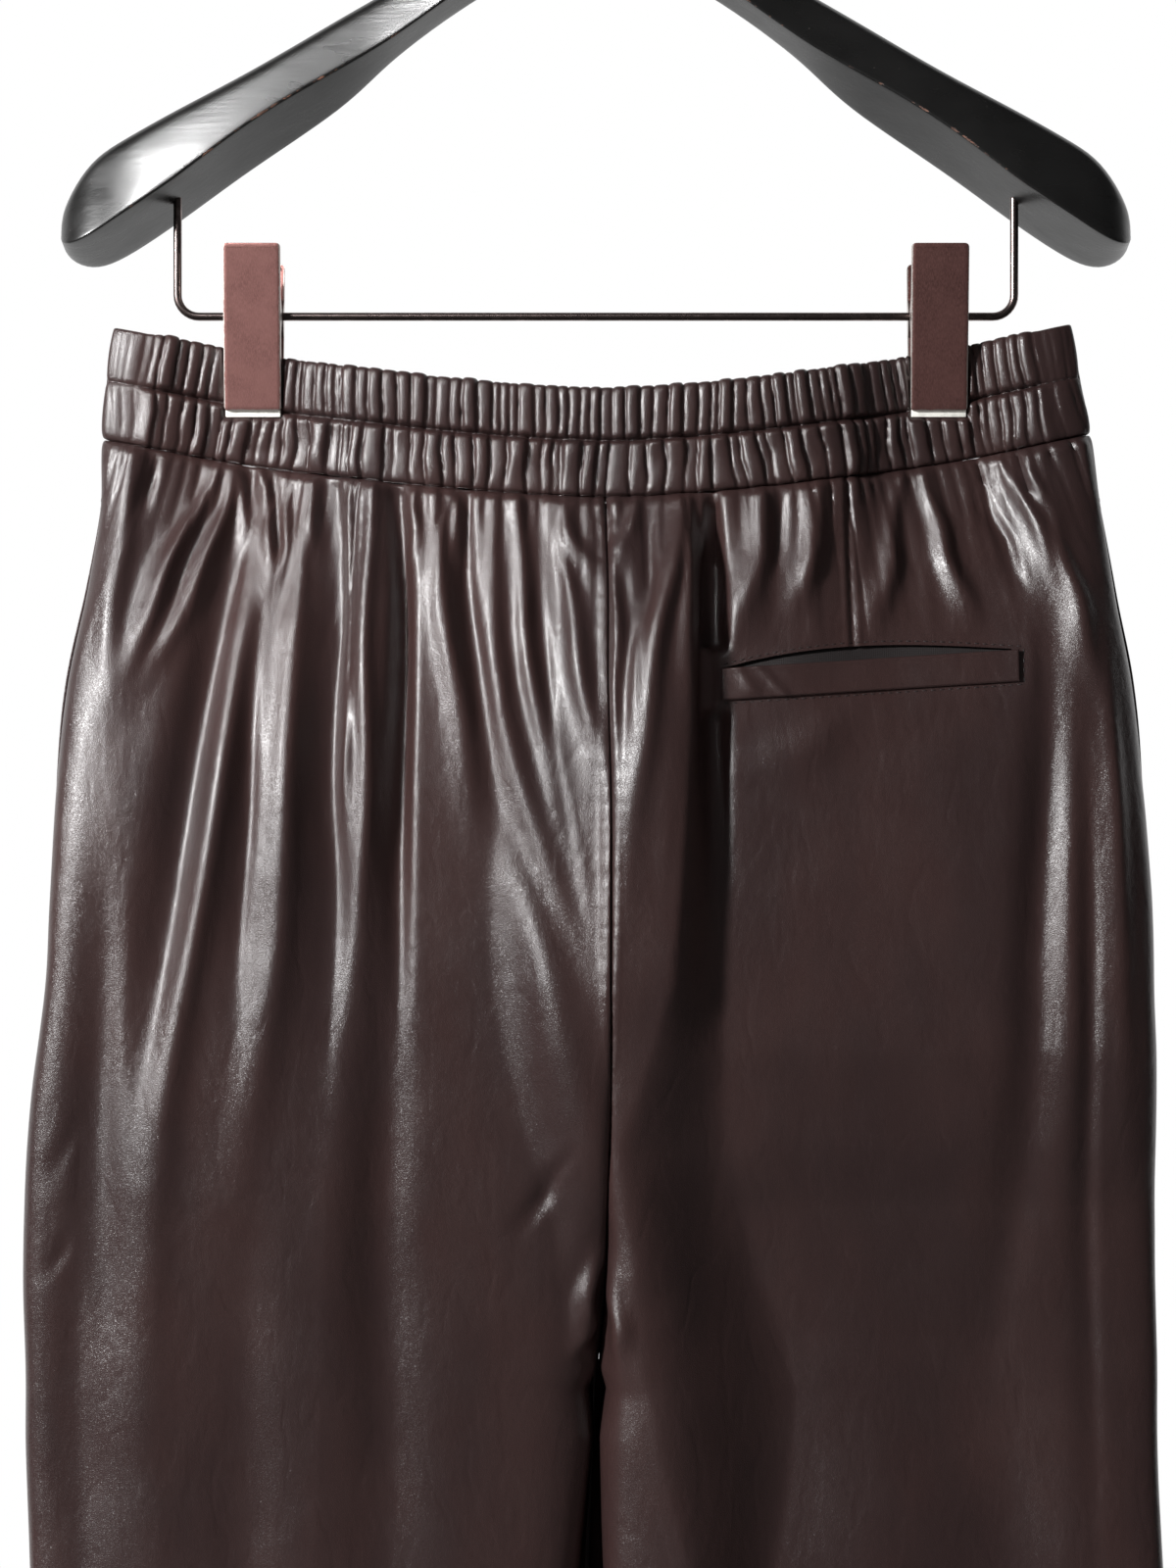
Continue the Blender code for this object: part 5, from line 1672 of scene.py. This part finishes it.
# Half of the wooden hanger at distances from its middle, in millimetres.
HANGER_COLUMNS = ("reach", "top", "front_low", "back_low", "depth")
HANGER_SECTIONS = (
    (0, -57, -77, -85, 20),
    (21, -62, -82, -90, 20),
    (42, -74, -94, -101, 20),
    (64, -88, -110, -115, 20),
    (85, -102, -125, -131, 21),
    (95, -108, -131, -141, 22),
    (107, -115, -138, -152, 24),
    (128, -128, -150, -166, 28),
    (150, -141, -165, -180, 33),
    (175, -154, -185, -198, 38),
    (196, -166, -199, -212, 40),
    (208, -173, -207, -218, 38),
    (217, -184, -211, -218, 30),
    (224, -197, -210, -213, 14),
)
FRONT_LEAN = 0.24
RIDGE_END = 221.0
HOOK_WIRE = 4.4
HOOK_INSIDE = 20
HOOK_STEM_FOOT = -74
HOOK_BEND = 75
HOOK_END_ANGLE = 196
# The domed end of the hook: how far each step goes on, and how much it narrows.
HOOK_DOME = ((0.45, 0.87), (0.30, 0.62))
BAR_WIRE = 3.5
BAR_Z = -239.5
BAR_REACH = 175
BAR_BEND = 9
BAR_FOOT = -189

CLIP_WIDTH = 23.8
CLIP_TOP = -210
CLIP_LOW = -279.5
CLIP_INNER_TOP = -216
CLIP_SHEET = 1.2
CLIP_SPREAD_TOP = 13.5
CLIP_FLANGE = 2.0
CLIP_EAR = 16
CLIP_CORNER = 1.8
CLIP_SLACK = 0.3
PLATE_RIM = 0.45
PLATE_BORDER = 1.4
PAD_HEIGHT = 20
PAD_THICK = 1.5
PAD_BELOW = 2.5
PAD_EDGE = 0.35
SPRING_RADIUS = 3.4
SPRING_LENGTH = 15
SPRING_WIRE = 1.1


def hanger_column(name, reach):
    """A column of the hanger's sections, read at a distance from its middle."""
    column = [row[HANGER_COLUMNS.index(name)] for row in HANGER_SECTIONS]
    return float(cubic([-row[0] for row in HANGER_SECTIONS], column, -reach))


def shape_end(arm, row):
    """Moves the four corners of the arm's end to where this station has them."""
    at = row["reach"] * MM
    for side, low in ((-1, "front_low"), (1, "back_low")):
        end = lambda v: close_to(v.co.x, at) and v.co.y * side > 0
        here = sorted(v.co.z for v in bmesh.from_edit_mesh(arm.data).verts if end(v))
        for z, name in zip(here, (low, "top")):
            pick("VERT", lambda v: end(v) and close_to(v.co.z, z))
            corner = next(v.co.copy() for v in bmesh.from_edit_mesh(arm.data).verts if v.select)
            leans = (side, name) == (-1, "top")
            y = side * row["depth"] / 2
            y += FRONT_LEAN * (row["top"] - row["front_low"]) if leans else 0
            move_picked(y=y - corner.y / MM, z=row[name] - corner.z / MM)


def runs_along(edge, front, upper):
    """Whether an edge is one of those along the arm, on this side and at this level."""
    a, b = (v.co for v in edge.verts)
    if abs(a.x - b.x) < MM or (a.y < 0) != front or (b.y < 0) != front:
        return False
    x = (a.x + b.x) / 2 / MM
    low = "front_low" if front else "back_low"
    split = (hanger_column("top", x) + hanger_column(low, x)) / 2
    return ((a.z + b.z) / 2 / MM > split) == upper


# The arm's long edges: whether on its front, whether above, and how wide each is rounded.
WOOD_EDGES = ((True, True, 5.0), (False, True, 5.5), (False, False, 3.0), (True, False, 1.1))


def carve_arm():
    """One arm of the hanger, drawn out station by station from its middle, then mirrored."""
    rows = [dict(zip(HANGER_COLUMNS, row)) for row in HANGER_SECTIONS]
    first, second = rows[0], rows[1]
    half = first["depth"] / 2
    low, high = (0, -half, first["front_low"]), (second["reach"], half, first["top"])
    arm = start_box(low, high, "hanger_lacquered")
    shape_end(arm, first)
    shape_end(arm, second)
    for before, row in zip(rows[1:], rows[2:]):
        at = before["reach"] * MM
        pick("FACE", lambda f: close_to(f.calc_center_median().x, at) and f.normal.x > 0.9)
        draw_out(x=row["reach"] - before["reach"])
        shape_end(arm, row)
    pick("FACE", lambda f: f.normal.x < -0.9 and f.calc_center_median().x < 0.1 * MM)
    bpy.ops.mesh.delete(type="FACE")
    for front, upper, width in WOOD_EDGES:
        if pick("EDGE", lambda edge: runs_along(edge, front, upper)):
            round_off(width, 3, clamp=True)
    leave_edit(50)
    mirror = arm.modifiers.new("other arm", "MIRROR")
    mirror.merge_threshold = 0.00002
    soften = arm.modifiers.new("soften", "SUBSURF")
    soften.levels = soften.render_levels = 2
    apply_modifiers(arm)
    bpy.ops.object.mode_set(mode="EDIT")
    leave_edit(50)
    return arm


def ridge_distance(arm):
    """How far each point is from the ridge under the hanger's front face."""
    found = []
    for vertex in arm.data.vertices:
        x, y, z = vertex.co / MM
        reach = min(abs(x), RIDGE_END)
        ridge_z = hanger_column("front_low", reach)
        ridge_y = -hanger_column("depth", reach) / 2
        found.append(math.hypot(y - ridge_y, z - ridge_z) * MM)
    return found


def hook():
    """The hook: a straight stem, a short bend out and the long bend round."""
    radius = HOOK_INSIDE + HOOK_WIRE / 2
    turn, end = math.radians(HOOK_BEND), math.radians(HOOK_END_ANGLE)
    small = radius * math.cos(turn) / (1 - math.cos(turn))
    bend_z = -HOOK_INSIDE - (radius + small) * math.sin(turn)
    wire = start_ring((0, 0, HOOK_STEM_FOOT), HOOK_WIRE / 2, 16, "hook_wire")
    draw_out(z=bend_z - HOOK_STEM_FOOT, steps=2)
    bend(-HOOK_BEND, (small, 0, bend_z), 8)
    bend(HOOK_END_ANGLE + HOOK_BEND, (0, 0, -HOOK_INSIDE), 44)
    round_end(HOOK_WIRE / 2, -math.sin(end), math.cos(end))
    close_end(lambda place: place.z < (HOOK_STEM_FOOT + 1) * MM)
    leave_edit(50)
    return wire


def clip_bar():
    """The bar that the clips slide on, its two ends bent up into the wood."""
    wire = start_ring((-BAR_REACH, 0, BAR_FOOT), BAR_WIRE / 2, 14, "clip_bar_wire")
    bend_z = BAR_Z + BAR_BEND
    straight = BAR_REACH - BAR_BEND
    draw_out(z=bend_z - BAR_FOOT, steps=2)
    bend(90, (-straight, 0, bend_z), 8)
    draw_out(x=2 * straight, steps=8)
    bend(90, (straight, 0, bend_z), 8)
    draw_out(z=BAR_FOOT - bend_z, steps=2)
    for side in (-1, 1):
        close_end(lambda place: place.x * side > 0)
    leave_edit(50)
    return wire


def layer_depth(facing):
    """How far from the middle the waistband's outside is, pressed in a clip."""
    return CLIP_BACK_DEPTH if facing < 0 else CLIP_FRONT_DEPTH


def clip_plate(name, x, facing, top):
    """A clip's plate: a shallow pan with rounded corners and two ears that straddle the bar,
    leaning out from the pad towards its top. facing is -1 over the garment's back, 1 over its
    front."""
    low_y = layer_depth(facing) + CLIP_SLACK + PAD_THICK + CLIP_SLACK
    high_y = low_y + (CLIP_SPREAD_TOP - low_y) * (top - CLIP_LOW) / (CLIP_TOP - CLIP_LOW)
    half = CLIP_WIDTH / 2
    inside, outside = low_y - CLIP_FLANGE, low_y + CLIP_SHEET
    near, far = sorted((facing * inside, facing * outside))
    plate = start_box((x - half, near, CLIP_LOW), (x + half, far, top), name)
    pick("EDGE", lambda e: abs((e.verts[0].co - e.verts[1].co).normalized().y) > 0.99)
    round_off(CLIP_CORNER, 4)
    for z in (BAR_Z - CLIP_EAR / 2, BAR_Z, BAR_Z + CLIP_EAR / 2):
        slice_all(z, "Z")
    pick("FACE", lambda face: face.normal.y * facing < -0.9)
    bpy.ops.mesh.inset(thickness=CLIP_SHEET * MM, depth=0)
    draw_out(y=facing * CLIP_FLANGE)
    reach = low_y - CLIP_FLANGE - BAR_WIRE / 2 - CLIP_SLACK
    lean = (BAR_Z - CLIP_LOW) / (top - CLIP_LOW) * (high_y - low_y)
    on_face = lambda v, y: close_to(v.co.y, facing * y * MM, 0.05)
    pick("VERT", lambda v: on_face(v, inside) and close_to(v.co.z, BAR_Z * MM, 0.1))
    move_picked(y=-facing * (reach + lean))
    outward = lambda edge: sum(face.normal.y * facing > 0.9 for face in edge.link_faces)
    pick("EDGE", lambda e: all(on_face(v, outside) for v in e.verts) and outward(e) == 1)
    round_off(PLATE_RIM, 2, 0.6)
    pick("FACE", lambda face: face.normal.y * facing > 0.99)
    bpy.ops.mesh.inset(thickness=PLATE_BORDER * MM, depth=0)
    leave_edit(35)
    tilt = math.atan2(high_y - low_y, top - CLIP_LOW) * -facing
    lift = Matrix.Translation((0, facing * low_y * MM, CLIP_LOW * MM))
    turned = lift @ Matrix.Rotation(tilt, 4, "X") @ lift.inverted()
    plate.matrix_world = turned @ plate.matrix_world
    make_active(plate)
    settle()
    return plate


def rim_distance(plate, x, top):
    """How far each point is from the plate's outline, seen from the front."""
    half = CLIP_WIDTH / 2
    found = []
    for vertex in plate.data.vertices:
        u, _, z = vertex.co / MM
        found.append(max(0.0, min(half - abs(u - x), z - CLIP_LOW, top - z)) * MM)
    return found


def pad(name, x, facing):
    """The soft pad between a plate and the waistband, a pale lip of it showing under the plate."""
    near = layer_depth(facing) + CLIP_SLACK
    near, far = sorted((facing * near, facing * (near + PAD_THICK)))
    half = CLIP_WIDTH / 2 - CLIP_SLACK
    low, high = (x - half, near, CLIP_LOW - PAD_BELOW), (x + half, far, CLIP_LOW + PAD_HEIGHT)
    block = start_box(low, high, name)
    pick("FACE", lambda face: face.normal.z < -0.9)
    bpy.ops.transform.resize(value=(0.985, 1, 1))
    pick("EDGE", lambda edge: True)
    round_off(PAD_EDGE, 3)
    leave_edit(40)
    return block


def spring(name, x, turns):
    """The coil round the bar that holds the clip shut."""
    radius, length = SPRING_WIRE / 2, SPRING_LENGTH - SPRING_WIRE
    coil = start_ring((0, 0, 0), radius, 8, name, math.pi / 2)
    move_picked(z=SPRING_RADIUS - radius)
    bpy.ops.object.mode_set(mode="OBJECT")
    winding = coil.modifiers.new("winding", "SCREW")
    winding.axis = "X"
    winding.screw_offset = length / turns * MM
    winding.iterations = turns
    winding.steps = winding.render_steps = 20
    apply_modifiers(coil)
    coil.location = ((x - length / 2) * MM, 0, BAR_Z * MM)
    settle()
    bpy.ops.object.mode_set(mode="EDIT")
    for low in (True, False):
        close_end(lambda place: (place.x < x * MM) == low)
    leave_edit(60)
    return coil


# ---- Operators ----


def both_forms():
    return HalfForm(-1), HalfForm(1)


class SHORTS_OT_leg_panels(bpy.types.Operator):
    """Makes the two back and two front leg panels, gathered under the waistband"""

    bl_idname = "shorts.leg_panels"
    bl_label = "Leg Panels"

    def execute(self, context):
        cloth = context.scene.shorts_cloth
        leather = finish("faux leather")
        for form, label in zip(both_forms(), ("left", "right")):
            for front, place in ((False, "back"), (True, "front")):
                panel = leg_panel(cloth, f"leg_{place}_{label}", form, front)
                if place == "back" and label == "right":
                    cut_slit(panel)
                    panel.data.shade_smooth()
                    panel.data.set_sharp_from_angle(angle=math.radians(70))
                keep(panel, leather, "faux_leather", f"{place}_{label}")
        return {"FINISHED"}


class SHORTS_OT_waistband(bpy.types.Operator):
    """Makes the gathered elastic casing at the back and the flat band at the front"""

    bl_idname = "shorts.waistband"
    bl_label = "Waistband"

    def execute(self, context):
        cloth = context.scene.shorts_cloth
        leather = finish("faux leather")
        forms = both_forms()
        keep(back_band(cloth, forms), leather, "faux_leather", "waistband_back")
        keep(front_band(cloth, forms), leather, "faux_leather", "waistband_front")
        return {"FINISHED"}


class SHORTS_OT_pockets(bpy.types.Operator):
    """Makes the back pocket's welt and facing, and the facings inside the side pockets"""

    bl_idname = "shorts.pockets"
    bl_label = "Pockets"

    def execute(self, context):
        cloth = context.scene.shorts_cloth
        leather = finish("faux leather")
        lining = finish("pocket facing cloth")
        left, right = both_forms()
        keep(welt(cloth, right), leather, "faux_leather", "back_pocket_welt")
        keep(pocket_back(cloth, right), lining, "pocket_facing", "back_pocket_facing")
        for form, label in ((left, "left"), (right, "right")):
            facing = side_pocket_facing(cloth, f"side_facing_{label}", form)
            keep(facing, lining, "pocket_facing", f"side_pocket_facing_{label}")
        return {"FINISHED"}


class SHORTS_OT_stitching(bpy.types.Operator):
    """Sews the casing, the pockets and the hems"""

    bl_idname = "shorts.stitching"
    bl_label = "Stitching"

    def execute(self, context):
        cloth = context.scene.shorts_cloth
        thread = finish("sewing thread")
        left, right = both_forms()
        sew(cloth, "stitches_casing", [channel_run(cloth, (left, right))], thread)
        sew(cloth, "stitches_back_pocket", back_pocket_runs(cloth, right), thread)
        panels = [(form, front) for form in (left, right) for front in (False, True)]
        edges = [pocket_edge_run(cloth, form, front) for form, front in panels]
        sew(cloth, "stitches_side_pockets", edges, thread)
        hems = [hem_run(cloth, form, front) for form, front in panels]
        sew(cloth, "stitches_hems", hems, thread)
        return {"FINISHED"}


class SHORTS_OT_hanger_wood(bpy.types.Operator):
    """Carves the lacquered wooden hanger"""

    bl_idname = "shorts.hanger_wood"
    bl_label = "Wooden Hanger"

    def execute(self, context):
        arm = carve_arm()
        mark_points(arm, "from_ridge", ridge_distance(arm))
        keep(arm, finish("worn black lacquer"), "black_lacquer", "hanger_wood")
        return {"FINISHED"}


class SHORTS_OT_hanger_wires(bpy.types.Operator):
    """Bends the hook and the bar that the clips slide on"""

    bl_idname = "shorts.hanger_wires"
    bl_label = "Hook and Bar"

    def execute(self, context):
        steel = finish("dark plated wire")
        keep(hook(), steel, "dark_wire", "hanger_hook")
        keep(clip_bar(), steel, "dark_wire", "hanger_bar")
        return {"FINISHED"}


class SHORTS_OT_clips(bpy.types.Operator):
    """Makes the two sprung clips with their pads"""

    bl_idname = "shorts.clips"
    bl_label = "Clips"

    def execute(self, context):
        turns = context.scene.shorts_hanger.spring_turns
        plated = finish("brushed copper plate")
        cream = finish("cream pad")
        steel = finish("dark plated wire")
        for label, x in (("left", -CLIP_X), ("right", CLIP_X)):
            for place, facing, top in (("back", -1, CLIP_TOP), ("front", 1, CLIP_INNER_TOP)):
                plate = clip_plate(f"{label}_clip_{place}", x, facing, top)
                mark_points(plate, "from_rim", rim_distance(plate, x, top))
                keep(plate, plated, "bronze_plate", f"clip_{label}_{place}_plate")
                block = pad(f"{label}_pad_{place}", x, facing)
                keep(block, cream, "clip_pad", f"clip_{label}_{place}_pad")
            coil = spring(f"{label}_coil", x, turns)
            keep(coil, steel, "dark_wire", f"clip_{label}_spring")
        return {"FINISHED"}


def hang_light(name, kind, place, at, power, **settings):
    """A lamp at a place, turned towards another."""
    lamp = bpy.data.lights.new(name, kind)
    lamp.energy = power
    for setting, value in settings.items():
        setattr(lamp, setting, value)
    light = link_piece(name, lamp)
    light.location = place
    light.rotation_euler = (Vector(at) - light.location).to_track_quat("-Z", "Y").to_euler()
    return light


def soft_light(name, place, at, size, power):
    """A round soft light."""
    return hang_light(name, "AREA", place, at, power, shape="DISK", size=size)


def narrow_light(name, place, at, power):
    """A soft lamp behind a snoot: a narrow beam whose edge fades from its middle."""
    width, size = math.radians(WOOD_LIGHT_WIDTH), WOOD_LIGHT_SIZE / 2
    beam = {"shadow_soft_size": size, "spot_size": width, "spot_blend": 1.0}
    return hang_light(name, "SPOT", place, at, power, **beam)


def pale_surroundings(world, strength):
    """Soft even light, with a plain white backdrop that only the camera and gloss see."""
    world.use_nodes = True
    world.node_tree.nodes.clear()
    n = Nodes(world.node_tree)
    ambient = n.put("Background", {"Color": (1, 1, 1), "Strength": strength})
    backdrop = n.put("Background", {"Color": (1, 1, 1), "Strength": 1.0})
    ray = n.put("LightPath").outputs
    ahead = n.put("SeparateXYZ", {0: n.put("TexCoord").outputs["Generated"]}).outputs["Y"]
    mirrored = n.times(ray["Is Glossy Ray"], n.spread(ahead, 0.1, 0.4))
    seen = n.sum("MAXIMUM", ray["Is Camera Ray"], mirrored)
    both = n.put("MixShader", {0: seen, 1: ambient.outputs[0], 2: backdrop.outputs[0]})
    n.put("OutputWorld", {"Surface": both.outputs[0]})


FLOOR_SIZE = 3.8
FLOOR_Z = -1.25
LENS = 87.8
CAMERA_PLACE = (-0.0033, -1.6, -0.435)
KEY_PLACE = (-2.27, -1.77, 0.44)
KEY_AIM = (0, 0, -0.45)
KEY_SIZE = 0.38
WOOD_LIGHT_PLACE = (-0.87, -1.71, 0.975)
WOOD_LIGHT_AIM = (-0.20, -0.02, -0.18)
WOOD_LIGHT_SIZE = 0.42
WOOD_LIGHT_WIDTH = 7
WOOD_LIGHT_SHARE = 4.8
FILL_PLACE = (1.6, -1.9, -0.2)
FILL_AIM = (0, 0, -0.5)
FILL_SIZE = 1.2


class SHORTS_OT_studio(bpy.types.Operator):
    """Sets up the pale floor, the studio lights and the camera"""

    bl_idname = "shorts.studio"
    bl_label = "Studio"

    def execute(self, context):
        stage = context.scene.shorts_stage
        deselect_all()
        bpy.ops.mesh.primitive_grid_add(
            x_subdivisions=8, y_subdivisions=8, size=FLOOR_SIZE, location=(0, 0, FLOOR_Z)
        )
        floor = context.object
        floor.name = "studio_floor"
        settle()
        floor.data.materials.append(finish("pale floor"))
        floor.visible_glossy = False

        context.scene.world = context.scene.world or bpy.data.worlds.new("studio")
        pale_surroundings(context.scene.world, stage.sky)
        soft_light("key_light", KEY_PLACE, KEY_AIM, KEY_SIZE, stage.key)
        narrow_light("wood_light", WOOD_LIGHT_PLACE, WOOD_LIGHT_AIM, stage.key * WOOD_LIGHT_SHARE)
        fill = soft_light("fill_light", FILL_PLACE, FILL_AIM, FILL_SIZE, stage.fill)
        fill.visible_glossy = False

        lens = bpy.data.cameras.new("camera")
        lens.sensor_fit = "VERTICAL"
        lens.sensor_height = 36
        lens.lens = LENS
        camera = link_piece("camera", lens)
        camera.location = CAMERA_PLACE
        camera.rotation_euler = (math.radians(90), 0, 0)
        context.scene.camera = camera
        context.scene.view_settings.view_transform = "Standard"
        return {"FINISHED"}


OPERATORS = (
    SHORTS_OT_leg_panels,
    SHORTS_OT_waistband,
    SHORTS_OT_pockets,
    SHORTS_OT_hanger_wood,
    SHORTS_OT_hanger_wires,
    SHORTS_OT_clips,
    SHORTS_OT_stitching,
    SHORTS_OT_studio,
)


class SHORTS_PT_panel(bpy.types.Panel):
    """The shorts' settings and steps"""

    bl_label = "Shorts on a Clip Hanger"
    bl_space_type = "VIEW_3D"
    bl_region_type = "UI"
    bl_category = "Shorts"

    def draw(self, context):
        layout = self.layout
        scene = context.scene
        for group in (scene.shorts_cloth, scene.shorts_hanger, scene.shorts_stage):
            box = layout.box()
            for name in group.__annotations__:
                box.prop(group, name)
        for operator in OPERATORS:
            layout.operator(operator.bl_idname)


CLASSES = (ShortsCloth, ShortsHanger, ShortsStage) + OPERATORS + (SHORTS_PT_panel,)


def register():
    for cls in CLASSES:
        bpy.utils.register_class(cls)
    bpy.types.Scene.shorts_cloth = PointerProperty(type=ShortsCloth)
    bpy.types.Scene.shorts_hanger = PointerProperty(type=ShortsHanger)
    bpy.types.Scene.shorts_stage = PointerProperty(type=ShortsStage)


def unregister():
    del bpy.types.Scene.shorts_stage
    del bpy.types.Scene.shorts_hanger
    del bpy.types.Scene.shorts_cloth
    for cls in reversed(CLASSES):
        bpy.utils.unregister_class(cls)


def main():
    register()
    bpy.ops.shorts.leg_panels()
    bpy.ops.shorts.waistband()
    bpy.ops.shorts.pockets()
    bpy.ops.shorts.hanger_wood()
    bpy.ops.shorts.hanger_wires()
    bpy.ops.shorts.clips()
    bpy.ops.shorts.stitching()
    bpy.ops.shorts.studio()
    bpy.context.view_layer.update()


if __name__ == "__main__":
    main()
